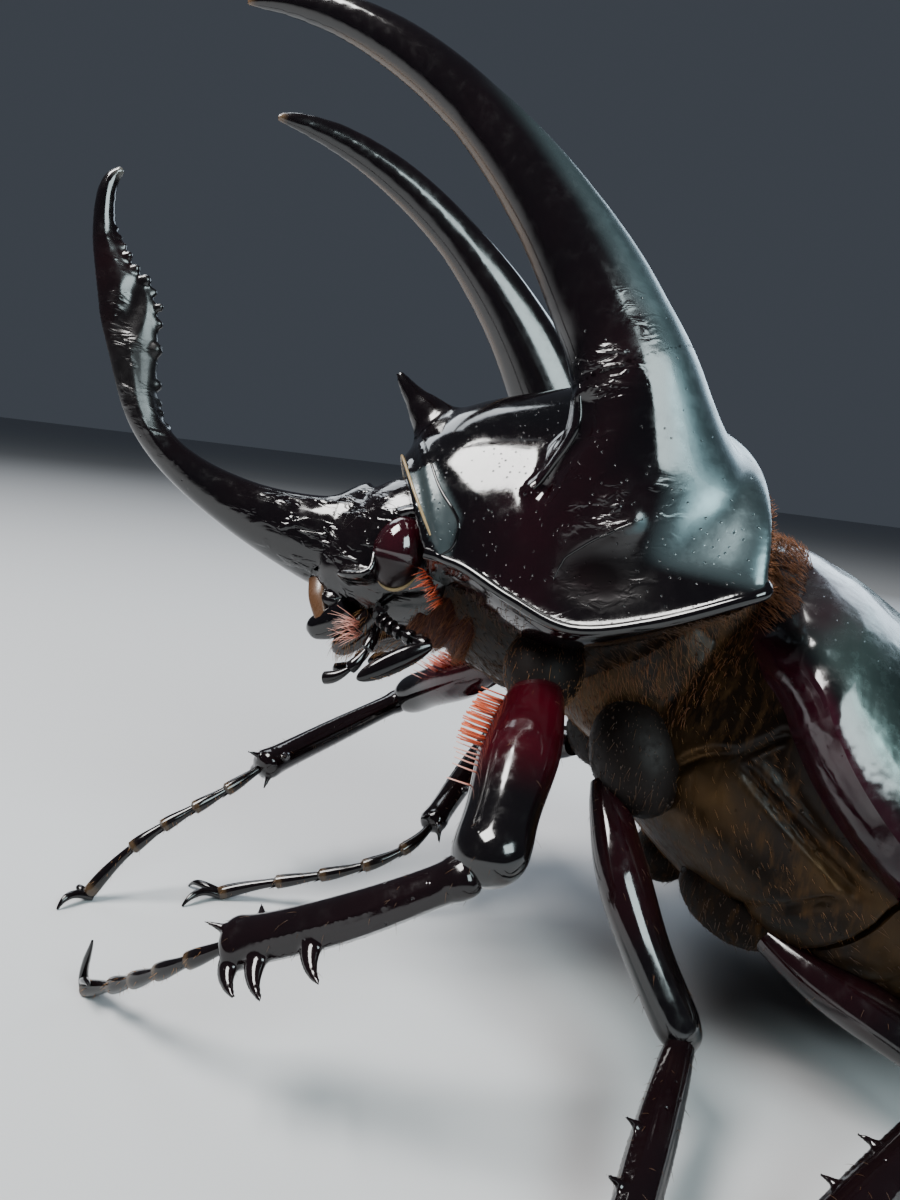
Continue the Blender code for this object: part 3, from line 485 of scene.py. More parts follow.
def lined(points, normals, path, width, rise):
    """Points raised along a path, or sunk for a negative rise, fading out at its ends."""
    gap, share = near_path(points, path)[:2]
    fade = step(share, 0.0, 0.12) * (1 - step(share, 0.88, 1.0))
    return points + normals * (rise * bump(gap, 0.0, width) * fade)[:, None]


def part_of(points, faces, chosen, marks):
    """The faces whose points are mostly chosen, closed where they were cut, with their marks."""
    kept = [face for face in faces if sum(chosen[i] for i in face) * 2 >= len(face)]
    used = sorted({i for face in kept for i in face})
    renamed = {old: new for new, old in enumerate(used)}
    shape = bmesh.new()
    verts = [shape.verts.new(points[i]) for i in used]
    for face in kept:
        shape.faces.new([verts[renamed[i]] for i in face])
    rim = [edge for edge in shape.edges if edge.is_boundary]
    bmesh.ops.holes_fill(shape, edges=rim, sides=0)
    mesh = bpy.data.meshes.new("part")
    shape.to_mesh(mesh)
    shape.free()
    made = arrays_of(mesh)
    bpy.data.meshes.remove(mesh)
    return made, {name: values[used] for name, values in marks.items()}


def add_vectors(mesh, label, values):
    """A mark of three numbers on each point; values may be one row for all of them."""
    layer = mesh.attributes.new(label, "FLOAT_VECTOR", "POINT")
    rows = np.broadcast_to(np.asarray(values, float), (len(mesh.vertices), 3))
    layer.data.foreach_set("vector", np.ascontiguousarray(rows).ravel())


SKINS = {}


def make_piece(name, shape, matrix, finish, marks=None, swaps=(), sharp=38.0, normals=None):
    """A finished piece: its place in its mesh, smooth, with named marks on its points. Its skin is remembered
    for the hairs that grow on it."""
    points, faces = shape
    SKINS[name] = (np.asarray(points, float), faces, matrix)
    mesh = mesh_of((moved(points, matrix) * MM, faces))
    mesh.name = name
    fixed = bmesh.new()
    fixed.from_mesh(mesh)
    bmesh.ops.recalc_face_normals(fixed, faces=fixed.faces[:])
    fixed.to_mesh(mesh)
    fixed.free()
    for label, values in (marks or {}).items():
        if np.ndim(values) == 2:
            add_vectors(mesh, label, values)
        else:
            layer = mesh.attributes.new(label, "FLOAT", "POINT")
            layer.data.foreach_set("value", np.ascontiguousarray(np.broadcast_to(values, len(points)), float))
    mesh.shade_smooth()
    if normals is None:
        mesh.set_sharp_from_angle(angle=math.radians(sharp))
    else:
        mesh.normals_split_custom_set_from_vertices((normals @ matrix[:3, :3].T).tolist())
    mesh.materials.append(finish)
    piece = new_object(name, mesh)
    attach(piece, BODY)
    if swaps:
        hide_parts(*swaps)
    return piece


def make_part(name, points, faces, chosen, marks, finish, nodes):
    """A piece cut out of a skin of the fore body. It keeps the whole skin's normals, so no seam shows."""
    part, kept = part_of(points, faces, chosen, marks)
    facing = kept.pop("normal")
    make_piece(name, part, FORE, finish, kept, nodes, normals=facing)


# Finishes

def add_node(tree, kind, inputs=None, **settings):
    """A new node with its settings; each of its inputs, by name or number, is set or linked."""
    made = tree.nodes.new(kind)
    for key, value in settings.items():
        setattr(made, key, value)
    for key, value in (inputs or {}).items():
        if isinstance(value, bpy.types.NodeSocket):
            tree.links.new(value, made.inputs[key])
        else:
            made.inputs[key].default_value = value
    return made


def maths(tree, operation, *values, clamped=False):
    made = add_node(tree, "ShaderNodeMath", dict(enumerate(values)), operation=operation, use_clamp=clamped)
    return made.outputs[0]


def ranged(tree, value, low, high, to_low=0.0, to_high=1.0, ends="SMOOTHSTEP"):
    """A value mapped from one range to another."""
    inputs = {"Value": value, "From Min": low, "From Max": high, "To Min": to_low, "To Max": to_high}
    return add_node(tree, "ShaderNodeMapRange", inputs, interpolation_type=ends).outputs["Result"]


def noise(tree, place, scale, detail, **inputs):
    inputs.update({"Vector": place, "Scale": scale, "Detail": detail})
    return add_node(tree, "ShaderNodeTexNoise", inputs).outputs[0]


def mixed(tree, share, first, second):
    """A colour between two others."""
    inputs = {"Factor": share, "A": first, "B": second}
    return add_node(tree, "ShaderNodeMix", inputs, data_type="RGBA").outputs["Result"]


def marked(tree, label):
    """A mark of the piece's points."""
    return add_node(tree, "ShaderNodeAttribute", attribute_name=label)


def new_group(name, inputs, outputs):
    """An empty shader group with named sockets: it, its inputs' sockets and its outputs' sockets."""
    group = bpy.data.node_groups.new(name, "ShaderNodeTree")
    for label, kind, value in inputs:
        socket = group.interface.new_socket(label, in_out="INPUT", socket_type="NodeSocket" + kind)
        if value is not None:
            socket.default_value = value
    for label, kind in outputs:
        group.interface.new_socket(label, in_out="OUTPUT", socket_type="NodeSocket" + kind)
    return group, group.nodes.new("NodeGroupInput").outputs, group.nodes.new("NodeGroupOutput").inputs


def pits_group():
    """Small round pits scattered over a shell, as many as a mark allows."""
    inputs = (("Vector", "Vector", None), ("Spread", "Float", 1500.0), ("Size", "Float", 0.3),
              ("Share", "Float", 1.0))
    group, given, out = new_group("Shell pits", inputs, (("Depth", "Float"),))
    cells = add_node(group, "ShaderNodeTexVoronoi", {"Vector": given["Vector"], "Scale": given["Spread"]},
                     feature="F1")
    inside = ranged(group, cells.outputs["Distance"], 0.0, given["Size"], 1.0, 0.0)
    parted = add_node(group, "ShaderNodeSeparateColor", {"Color": cells.outputs["Color"]})
    chosen = maths(group, "LESS_THAN", parted.outputs["Red"], given["Share"])
    group.links.new(maths(group, "MULTIPLY", inside, chosen), out["Depth"])
    return group


def wrinkles_group():
    """Short uneven folds across a shell, in patches."""
    inputs = (("Vector", "Vector", None), ("Scale", "Float", 1.0), ("Share", "Float", 1.0))
    group, given, out = new_group("Shell wrinkles", inputs, (("Rise", "Float"),))
    ridge = ranged(group, noise(group, given["Vector"], given["Scale"], 2.0, Distortion=0.6), 0.40, 0.72)
    patch = ranged(group, noise(group, given["Vector"], 0.42, 1.0), 0.40, 0.58)
    chosen = maths(group, "MULTIPLY", ridge, given["Share"])
    group.links.new(maths(group, "MULTIPLY", chosen, patch), out["Rise"])
    return group


def tone_group():
    """A dark and a warm colour mixed in soft clouds by a share."""
    inputs = (("Vector", "Vector", None), ("Dark", "Color", (0.01, 0.01, 0.01, 1)),
              ("Warm", "Color", (0.05, 0.01, 0.01, 1)), ("Share", "Float", 0.3), ("Scale", "Float", 220.0))
    group, given, out = new_group("Shell tone", inputs, (("Color", "Color"),))
    clouds = noise(group, given["Vector"], given["Scale"], 4.0)
    spread = ranged(group, clouds, 0.3, 0.7, 0.55, 1.25, "LINEAR")
    amount = maths(group, "MULTIPLY", spread, given["Share"], clamped=True)
    group.links.new(mixed(group, amount, given["Dark"], given["Warm"]), out["Color"])
    return group


def wear_group():
    """Roughness that varies between two values in fine scuffs, and the scuffs themselves."""
    inputs = (("Vector", "Vector", None), ("Smooth", "Float", 0.12), ("Scuffed", "Float", 0.3),
              ("Scale", "Float", 900.0))
    group, given, out = new_group("Shell wear", inputs, (("Roughness", "Float"), ("Grain", "Float")))
    scuffs = noise(group, given["Vector"], given["Scale"], 6.0, Roughness=0.65)
    group.links.new(ranged(group, scuffs, 0.42, 0.72, given["Smooth"], given["Scuffed"]), out["Roughness"])
    group.links.new(scuffs, out["Grain"])
    return group


STREAK_SCALE = (1.6, 1.6, 0.3)
GROUPS = {"pits": pits_group(), "wrinkles": wrinkles_group(), "tone": tone_group(), "wear": wear_group()}


def place_group(tree, name, **inputs):
    return add_node(tree, "ShaderNodeGroup", inputs, node_tree=GROUPS[name])


def new_finish(name):
    made = bpy.data.materials.new(name)
    made.use_nodes = True
    return made, made.node_tree, made.node_tree.nodes["Principled BSDF"].inputs


def shell_finish(name, dark, warm, glow=0.1, smooth=0.08, scuffed=0.2, coat=0.25, pit_spread=1300.0,
                 pit_size=0.13, pit_depth=0.00004, fold_height=0.00006, pale=(0.35, 0.22, 0.10),
                 grain=0.000003, sheen=(0.10, 0.14, 0.15), waves=0.0, broken=(0.15, 0.40), shine=0.5,
                 streaks=0.0):
    """Glossy chitin: dark with a warm glow, with pits, folds, pale rims and a metallic sheen where the piece
    is marked for them; where a piece lays its pale or sheen marks by how its faces turn, they are painted
    reflection. A matt mark makes it rougher and lets its gloss fade; where a piece lays it in a hollow it
    paints shade.
    Streaks draw its scuffs out upright and let them warm it. Depths and heights are in metres."""
    made, tree, shader = new_finish(name)
    link = tree.links.new
    place = add_node(tree, "ShaderNodeTexCoord").outputs["Object"]
    drawn_out = place
    if streaks:
        drawn_out = add_node(tree, "ShaderNodeMapping", {"Vector": place, "Scale": STREAK_SCALE}).outputs[0]
    wear = place_group(tree, "wear", Vector=drawn_out, Smooth=smooth, Scuffed=scuffed)
    if streaks:
        glow = maths(tree, "MULTIPLY_ADD", wear.outputs["Grain"], streaks, -streaks * 0.5)
    warmth = maths(tree, "MULTIPLY_ADD", marked(tree, "glow").outputs["Fac"], 1.0, glow, clamped=True)
    tone = place_group(tree, "tone", Vector=place, Dark=(*dark, 1), Warm=(*warm, 1), Share=warmth)
    # Pale rims, the piece's own colour; on the horns' lower fronts also a painted reflection of the floor
    # below.
    rims = mixed(tree, marked(tree, "pale").outputs["Fac"], tone.outputs["Color"], (*pale, 1))
    # Metallic sheen, the shell's lustre; where a piece lays it by how faces turn, it is a painted reflection.
    drift = ranged(tree, noise(tree, place, 150.0, 5.0), *broken)
    lustre = maths(tree, "MULTIPLY", drift, marked(tree, "sheen").outputs["Fac"])
    link(mixed(tree, lustre, rims, (*sheen, 1)), shader["Base Color"])
    matt_and_shade = marked(tree, "matt_and_shade").outputs["Fac"]
    link(maths(tree, "ADD", wear.outputs["Roughness"], matt_and_shade, clamped=True), shader["Roughness"])
    # A matt mark makes the gloss fade; where it marks the pronotum's hollow, this is painted shade.
    dimmed = ranged(tree, matt_and_shade, 0.1, 0.5, 0.0, 0.88, "LINEAR")
    link(maths(tree, "MAXIMUM", lustre, dimmed), shader["Metallic"])
    if coat:
        link(ranged(tree, matt_and_shade, 0.1, 0.4, coat, 0.0, "LINEAR"), shader["Coat Weight"])
    pits = place_group(tree, "pits", Vector=place, Spread=pit_spread, Size=pit_size,
                       Share=marked(tree, "pits").outputs["Fac"])
    folds = place_group(tree, "wrinkles", Vector=marked(tree, "grain").outputs["Vector"],
                        Share=marked(tree, "folds").outputs["Fac"])
    reliefs = [(wear.outputs["Grain"], grain, False), (folds.outputs["Rise"], fold_height, False),
               (pits.outputs["Depth"], pit_depth, True)]
    if waves:
        reliefs.append((noise(tree, place, 420.0, 2.0), waves, False))
    normal = {}
    for height, depth, sunk in reliefs:
        inputs = {"Strength": 1.0, "Distance": depth, "Height": height, **normal}
        normal = {"Normal": add_node(tree, "ShaderNodeBump", inputs, invert=sunk).outputs["Normal"]}
    link(normal["Normal"], shader["Normal"])
    for label, value in (("Specular IOR Level", shine), ("IOR", 1.56), ("Coat Weight", coat),
                         ("Coat Roughness", 0.05)):
        shader[label].default_value = value
    return made


def bristle_finish(name, root, tip, roughness=0.35):
    """Hair and bristles, from a darker root to a paler tip."""
    made, tree, shader = new_finish(name)
    way = marked(tree, "way").outputs["Fac"]
    tree.links.new(mixed(tree, way, (*root, 1), (*tip, 1)), shader["Base Color"])
    shader["Roughness"].default_value = roughness
    shader["IOR"].default_value = 1.55
    return made


def make_finishes():
    black, red = (0.0022, 0.0019, 0.0024), (0.020, 0.002, 0.005)
    return {
        "black": shell_finish("black_shell", black, red, glow=0.03, smooth=0.06, scuffed=0.16, grain=0.000007,
                              pit_spread=1900.0, pit_size=0.18, pit_depth=0.00008, fold_height=0.00012,
                              pale=(0.22, 0.13, 0.07)),
        "head_horn": shell_finish("head_horn_shell", black, (0.04, 0.0035, 0.006), glow=0.04, smooth=0.07,
                                  scuffed=0.2, pit_size=0.17, fold_height=0.00015, waves=0.00007,
                                  pale=(0.30, 0.28, 0.25)),
        "maroon": shell_finish("maroon_shell", (0.003, 0.0022, 0.0026), (0.030, 0.0010, 0.0036), glow=0.0,
                               smooth=0.09, scuffed=0.24, pit_spread=1000.0, pit_size=0.14, waves=0.00002),
        "leg": shell_finish("leg_shell", (0.003, 0.0024, 0.0028), (0.020, 0.0025, 0.005), glow=0.05,
                            smooth=0.09, pit_spread=1100.0, pit_size=0.17, pit_depth=0.00008,
                            pale=(0.20, 0.12, 0.06), waves=0.00003, coat=0.12, shine=0.38),
        "wing": shell_finish("wing_case_shell", (0.003, 0.0035, 0.0038), (0.030, 0.003, 0.009), glow=0.03,
                             smooth=0.11, scuffed=0.26, pit_spread=1700.0, waves=0.00012,
                             broken=(0.20, 0.62), sheen=(0.07, 0.105, 0.10)),
        "eye": shell_finish("eye_lens", (0.005, 0.001, 0.0016), (0.035, 0.004, 0.008), glow=0.5, smooth=0.03,
                            scuffed=0.07, pit_spread=9000.0, pit_size=0.5, pit_depth=0.000003, coat=0.6,
                            grain=0.000001),
        "under": shell_finish("underside_shell", (0.006, 0.0030, 0.0016), (0.060, 0.028, 0.009),
                              smooth=0.34, scuffed=0.58, pit_spread=1500.0, pit_size=0.2, pit_depth=0.00006,
                              coat=0.0, waves=0.00010, shine=0.14, grain=0.00002, streaks=4.0,
                              sheen=(0.072, 0.041, 0.018), broken=(0.30, 0.66)),
        "hip": shell_finish("hip_shell", (0.003, 0.0018, 0.0014), (0.016, 0.005, 0.003), glow=0.2, smooth=0.3,
                            scuffed=0.5, pit_spread=1400.0, pit_size=0.2, coat=0.0, waves=0.00012,
                            shine=0.25),
        "tan": shell_finish("mouth_wall_skin", (0.05, 0.02, 0.009), (0.12, 0.06, 0.03), glow=0.5, smooth=0.25,
                            scuffed=0.4, coat=0.1, waves=0.00004),
        "mouth": shell_finish("mouth_shell", (0.004, 0.002, 0.002), (0.06, 0.016, 0.008), glow=0.15,
                              smooth=0.14, scuffed=0.3),
        "cream": shell_finish("cream_skin", (0.16, 0.10, 0.045), (0.34, 0.24, 0.11), glow=0.5, smooth=0.35,
                              scuffed=0.5, coat=0.1, waves=0.00005),
        "membrane": shell_finish("neck_membrane", (0.012, 0.002, 0.0012), (0.06, 0.010, 0.004), glow=0.4,
                                 smooth=0.6, scuffed=0.85, coat=0.0, waves=0.00012, shine=0.12),
        "copper": bristle_finish("copper_bristles", (0.34, 0.03, 0.010), (0.66, 0.13, 0.05)),
        "pink": bristle_finish("pink_bristles", (0.45, 0.12, 0.08), (0.80, 0.45, 0.38)),
        "gold": bristle_finish("golden_hair", (0.10, 0.035, 0.008), (0.40, 0.18, 0.05), 0.45),
        "amber": bristle_finish("amber_velvet", (0.07, 0.018, 0.004), (0.26, 0.08, 0.014), 0.6),
        "brown": bristle_finish("brown_hair", (0.03, 0.011, 0.004), (0.14, 0.058, 0.017), 0.5),
    }


# Fore body

def pronotum_ring(row):
    """One cross-section of the pronotum, from the left edge over the top and back underneath."""
    x, lean, width, edge, top = row
    angles = turn_angles(SHIELD_AROUND)
    across, rise = np.cos(angles), np.sin(angles)
    upper = rise >= 0
    lifted = np.abs(rise) ** 1.08
    return section_at(x + np.where(upper, lean * rise, lean * 0.2 * rise),
                      across * width * np.where(upper, 1.0, 0.96),
                      edge + np.where(upper, (top - edge) * lifted, PRONOTUM_UNDER * rise))


def horn_section(angles, share):
    """A horn's cross-section: softly squared, with a keel on its outer rear side and a shallow channel."""
    squared = (np.abs(np.cos(angles - 0.35)) ** 2.5 + np.abs(np.sin(angles - 0.35)) ** 2.5) ** (-1 / 2.5)
    channelled = step(share, 0.25, 0.4) * (1 - step(share, 0.75, 0.9))
    channel = 0.05 * bump(angles, 2 * math.pi - 0.25, 0.13) * channelled
    return 1 + (squared - 1.06) * 0.55 - channel


def horn_shapes():
    """Both long horns of the pronotum, each with its path."""
    made = []
    t = np.linspace(0, 1, 90)
    for side in (1, -1):
        path = np.vstack([mirrored(HORN_ROOTS, side), bezier(mirrored(HORN_PATH, side), t)])
        radii = np.concatenate([HORN_ROOT_RADII, np.interp(t, *zip(*HORN_RADII))])
        shape = loft(sweep(path, radii, radii * HORN_FLATNESS, (0, side, 0), 48, horn_section))
        made.append((shape, path[2:]))
    return made


def fore_skin(rows):
    """The pronotum with its rims and three horns as one skin, and the paths of the horns."""
    shield = loft([pronotum_ring(row) for row in rows])
    side_rims = [tube([(x, side * (width + 0.02), edge) for x, _, width, edge, _ in rows], SIDE_RIM)
                 for side in (1, -1)]
    upper = SHIELD_AROUND // 2 + 1
    rear_rim = tube(pronotum_ring(rows[0])[:upper] + np.array((-0.1, 0, 0)), REAR_RIM)
    collar_rim = tube(pronotum_ring(rows[int(COLLAR_SHARE * (len(rows) - 1))])[:upper], COLLAR_RIM)
    (left_horn, left_path), (right_horn, right_path) = horn_shapes()
    t = np.linspace(0, 1, 40)
    median_path = bezier(MEDIAN_PATH, t)
    median_radii = np.interp(t, *zip(*MEDIAN_RADII))
    median = loft(sweep(median_path, median_radii, median_radii * 0.8, (0, 1, 0), 32))
    shape = joined([shield, *side_rims, rear_rim, collar_rim, left_horn, right_horn, median])
    return grown_together(shape, FORE_GRID), left_path, right_path, median_path


def make_fore_shell(finishes):
    """Pronotum and its three horns, grown together so that the horns rise out of the shell, then parted."""
    rows = smooth_rows(PRONOTUM_ROWS, 7)
    (points, faces), left_path, right_path, median_path = fore_skin(rows)
    edges = edges_of(faces)
    points = relaxed(points, edges, 16, 1.0, 0.92)

    left_gap, left_share, left_off = near_path(points, left_path)
    right_gap, right_share, right_off = near_path(points, right_path)
    median_gap, median_share = near_path(points, median_path)[:2]
    on_left = points[:, 1] > 0
    gap, share = np.where(on_left, left_gap, right_gap), np.where(on_left, left_share, right_share)
    offset = np.where(on_left[:, None], left_off, right_off)
    # the horns' roots flow into the shell, the more so behind and below
    root = bump(gap - 5.2, 0, 2.6) * (1 - step(share, 0.05, 0.22))
    root = np.maximum(root, bump(median_gap, 2.2, 1.6) * (1 - step(median_share, 0.3, 0.6)))
    points = relaxed(points, edges, 60, np.clip(root * 1.3, 0, 1))
    x, y, z = points.T
    side = np.abs(y)
    table = np.array(sorted(rows.tolist()))
    margin = np.interp(x, table[:, 0], table[:, 3])
    flank = step(side, 9.0, 12.0) * step(x, 1.8, 3.6) * (1 - step(x, 13.5, 16.5)) * (1 - step(z, 12.0, 17.0))
    points = relaxed(points, edges, 130, flank * step(z - margin, 0.7, 1.8))
    points = relaxed(points, edges, 5, 1.0, 0.95)
    points = fore_relief(points, faces)
    normals = normals_of(points, faces)
    marks = fore_marks(points, normals, share, offset, median_gap)
    marks["normal"] = normals
    make_fold_edges(points, finishes)
    labels = np.zeros(len(points), int)
    over = points[:, 2] > 10.0
    labels[(left_gap < 6.5) & (left_share > 0.045) & over & (points[:, 1] > 0)] = 1
    labels[(right_gap < 6.5) & (right_share > 0.045) & over & (points[:, 1] < 0)] = 2
    labels[(median_gap < 3.5) & (median_share > 0.34) & (points[:, 0] > 20.5)] = 3
    parts = ((0, "pronotum_shield", "pronotum"), (1, "long_horn_left", "thoracic_horn_left"),
             (2, "long_horn_right", "thoracic_horn_right"), (3, "short_horn", "median_horn"))
    for label, name, node in parts:
        make_part(name, points, faces, labels == label, marks, finishes["black"], (node,))
    make_margins(rows, finishes)


def make_margins(rows, finishes):
    """The beads along the pronotum's side edges, and the membrane round the front of its collar."""
    upper = SHIELD_AROUND // 2 + 1
    for side, name in SIDES:
        bead = [(x, side * (width + 0.04), edge) for x, _, width, edge, _ in rows[3:]]
        make_piece("margin_bead_" + name, tube(bead, MARGIN_BEAD, 16), FORE, finishes["black"])
    front = []
    for k in range(4, upper - 4):
        lowness = 1 - math.sin(math.pi * k / (upper - 1))
        front.append(pronotum_ring(row_at(PRONOTUM_ROWS, 20.35 - 1.15 * lowness ** 1.5))[k])
    make_piece("collar_membrane", tube(front, 0.11, 10), FORE, finishes["cream"])


def fore_relief(points, faces):
    """Folds, hollows and lips of the pronotum's sides."""
    normals = normals_of(points, faces)
    for side in (1, -1):
        points = dented(points, normals, (9.6, side * 15.6, -1.0), (3.9, 5.0, 3.0), 0.35)
        points = lined(points, normals, smooth_rows(mirrored(HOLLOW_LIP, side), 5), 0.55, 0.34)
        fold = smooth_rows(mirrored(CRESCENT, side), 5)
        points = lined(points, normals, fold - np.array((0.9, 0, 0.1)), 0.75, -0.75)
        points = lined(points, normals, fold + np.array((0.25, 0, 0.0)), 0.65, 0.6)
    return points


def laid_on(points, path):
    """A path drawn onto the nearest points of a skin, and evened out."""
    laid = points[[int(np.argmin(((points - here) ** 2).sum(1))) for here in path]]
    for _ in range(6):
        laid[1:-1] = (laid[:-2] + 2 * laid[1:-1] + laid[2:]) / 4
    return laid


def make_fold_edges(points, finishes):
    """The thin shining edges of the folds on the pronotum's sides, and the bead behind its collar."""
    for side, name in SIDES:
        for label, line, radius in (("fold", CRESCENT, 0.16), ("hollow", HOLLOW_LIP, 0.09),
                                    ("collar", COLLAR_EDGE, 0.12)):
            path = laid_on(points, smooth_rows(mirrored(line, side), 9))
            taper = np.sin(np.linspace(0.12, math.pi - 0.12, len(path))) ** 0.6
            make_piece(label + "_edge_" + name, tube(path, radius * taper, 10), FORE, finishes["black"])


def fore_marks(points, normals, share, offset, median_gap):
    """Where the fore shell is pitted, folded, scuffed or glows warm, and where light and shade are painted on
    it.
    """
    x, y, z = points.T
    side = np.abs(y)
    low = 1 - step(z, 2.0, 9.0)
    front = step(x, 10.0, 14.0)
    on_horn = step(share, 0.06, 0.16)
    hollow = bump(x, 9.3, 3.0) * bump(z, -1.6, 2.2) * step(side, 13.0, 14.5)
    pits = np.clip(0.15 + 0.7 * low * step(side, 7, 11) + 0.55 * front * step(side, 4, 8) + hollow, 0, 0.9)
    pits *= 1 - on_horn
    folds = 1.0 * bump(share, 0.05, 0.06) * step(side, 13.6, 15.6) * step(x, 9.5, 11.5)
    folds = np.maximum(folds, 1.3 * bump(z, 2.8, 2.1) * step(side, 14.2, 15.8) * bump(x, 9.2, 2.3))
    folds = np.clip(np.maximum(folds, 0.5 * hollow), 0, 1)
    grain = np.stack([x * 0.8, y * 0.8, z * 1.5 + x * 0.4], -1)
    glow = 0.35 * low * bump(x, 14.0, 3.0) + 0.06 * on_horn + 0.25 * folds
    # The pale band along each horn's lower front is a painted reflection of the floor below; the horns' tips
    # are paled as well.
    concave = unit(offset)[:, 0] * 0.5 - unit(offset)[:, 2] * 0.85
    band = step(concave, 0.90, 0.97) * step(share, 0.12, 0.3)
    pale = np.maximum(0.4 * band * (1 - step(share, 0.9, 1.0)), 0.6 * step(share, 0.975, 0.995))
    # Sheen: on the disc behind the horns a metallic lustre; on the horns' faces turned rearward and outward
    # it is a painted reflection.
    behind = (1 - step(x, 4.8, 7.6)) * step(z, -0.4, 1.4)
    outward = step(normals[:, 1] * np.sign(y), -0.3, 0.1)
    rear_facing_reflection = step(-normals[:, 0], -0.02, 0.28) * step(z, -1.0, 2.0) * (1 - step(share, 0.25, 0.6))
    rear_facing_reflection = rear_facing_reflection * step(side, 4, 6)
    disc_lustre_and_reflection = np.maximum(behind, rear_facing_reflection * outward)
    lowness = 1 - np.clip((z + 2.8) / 7.4, 0, 1) ** 0.93
    line = 20.35 - 1.15 * lowness ** 1.5 + 3.9 * (1 - lowness)
    collar = step(x - 18.4 - 0.8 * np.maximum(z - 0.3, 0), 0.0, 0.7) * (median_gap > 3.4) * (share < 0.03)
    collar *= 1 - step(x - line, 0.0, 0.2)
    inner = (1 - outward) * step(share, 0.02, 0.08)
    sheen = np.maximum(0.9 * disc_lustre_and_reflection, 0.4 * collar)
    # In the hollow the matt mark dims the gloss as painted shade; elsewhere it only makes the shell matt.
    matt_and_shade = 0.26 * disc_lustre_and_reflection + 0.06 * on_horn + 0.5 * hollow + 0.14 * folds + 0.03 * inner
    return {"pits": pits, "folds": folds, "grain": grain, "glow": glow,
            "matt_and_shade": np.maximum(matt_and_shade, 0.28 * collar), "pale": pale, "sheen": sheen}


def cephalic_path():
    rows = smooth_rows(CEPHALIC_ROWS, 8)
    return np.stack([rows[:, 0], np.zeros(len(rows)), rows[:, 1]], -1), rows[:, 2], rows[:, 3]


def blade_section(angles, share):
    """The head horn's cross-section: keeled in front and behind, flat-sided."""
    return 1 - 0.10 * np.abs(np.sin(2 * angles)) * step(share, 0.35, 0.6)


def head_shapes():
    """The head's capsule, its cheeks and the ridges over its eyes."""
    rings = []
    for x, width, low, high in smooth_rows(HEAD_ROWS, 5):
        middle, height = (low + high) / 2, (high - low) / 2
        angles = turn_angles(72)
        across, rise = np.cos(angles), np.sin(angles)
        rings.append(section_at(x, np.sign(across) * np.abs(across) ** 0.85 * width,
                                middle + np.sign(rise) * np.abs(rise) ** 0.85 * height))
    pieces = [loft(rings), ball((26.2, 0, -7.9), (1.6, 3.4, 1.3))]
    for side in (1, -1):
        pieces.append(ball(mirrored(CHEEK_PLATE, side), (1.7, 1.75, 0.55), pointing((0.15, 0.0, 1.0))))
        pieces.append(tube(smooth_rows(mirrored(CHEEK_EDGE, side), 6), 0.3))
        pieces.append(tube(smooth_rows(mirrored(EYE_RIDGE, side), 6), 0.42))
    return pieces


def head_horn_shapes(path, depths, widths):
    """The head's horn with a keel on each side and a row of knobs along its rear edge."""
    pieces = []
    along, flat, tall = path_frames(path, (0, 1, 0))
    low, high = int(0.22 * len(path)), int(0.62 * len(path))
    for side in (1, -1):
        # a lengthwise keel on each side of the horn
        keel = path[low:high] + flat[low:high] * (side * (widths[low:high, None] - 0.06))
        pieces.append(tube(keel, 0.18 * np.sin(np.linspace(0.2, math.pi - 0.3, len(keel)))))
    pieces.append(loft(sweep(path, depths, widths, (0, 1, 0), 40, blade_section)))
    draw = np.random.default_rng(SEED)
    for share, size, rise in COMB:
        k = share * (len(path) - 1)
        i, part = int(k), k - int(k)
        here = path[i] * (1 - part) + path[i + 1] * part
        reach = depths[i] + rise - size * 0.95
        turn = np.stack([unit(tall[i]), unit(flat[i]), unit(along[i])], -1)
        pieces.append(ball(here + tall[i] * (reach - size * 0.25) + flat[i] * draw.uniform(-0.2, 0.2),
                           (size * 1.25, size * 0.85, size * draw.uniform(0.9, 1.35)), turn, 10, 16))
    return pieces


def make_head(finishes):
    """Head and its horn grown together, then parted."""
    path, depths, widths = cephalic_path()
    pieces = head_shapes() + head_horn_shapes(path, depths, widths)
    points, faces = grown_together(joined(pieces), HEAD_GRID)
    edges = edges_of(faces)
    points = relaxed(points, edges, 5, 1.0, 0.9)
    share = near_path(points, path)[1]
    root = bump(points[:, 0], 27.4, 1.8) * step(points[:, 2], -7.2, -5.6)
    points = relaxed(points, edges, 60, np.clip(root, 0, 1))
    points = relaxed(points, edges, 3, 1.0, 0.9)
    normals = normals_of(points, faces)
    middle = path[int(0.6 * len(path))]
    for side in (1, -1):
        points = dented(points, normals, middle + np.array((-0.3, side * 0.9, 0.2)), (1.5, 0.9, 4.2), 0.38)
    x, y, z = points.T
    side = np.abs(y)
    folds = 0.9 * bump(x, 29.0, 5.5) * step(side, 0.8, 1.8)
    folds = folds + 1.1 * bump(share, 0.62, 0.13) * step(side, 0.4, 0.8)
    pits = np.clip(0.8 * step(side, 1.5, 3.0) * (1 - step(x, 27.5, 31)) + 0.15, 0, 0.9)
    blade = step(share, 0.42, 0.52) * (1 - step(share, 0.78, 0.9))
    glow = 0.1 * blade * step(x, 47.5, 49.5)
    pale = 0.3 * step(share, 0.97, 0.995)
    marks = {"pits": pits, "folds": folds, "grain": np.stack([x * 0.55, y * 0.9, z * 1.7], -1), "glow": glow,
             "pale": pale, "matt_and_shade": 0.02 + 0.10 * blade + 0.16 * bump(share, 0.6, 0.1)}
    marks["normal"] = normals_of(points, faces)
    horn = (x > 28.4) | ((x > 27.9) & (z > -6.0))
    for chosen, name, nodes in ((horn, "head_horn", ("cephalic_horn_base", "cephalic_horn_tip")),
                                (~horn, "head_capsule", ("head",))):
        make_part(name, points, faces, chosen, marks, finishes["head_horn"], nodes)


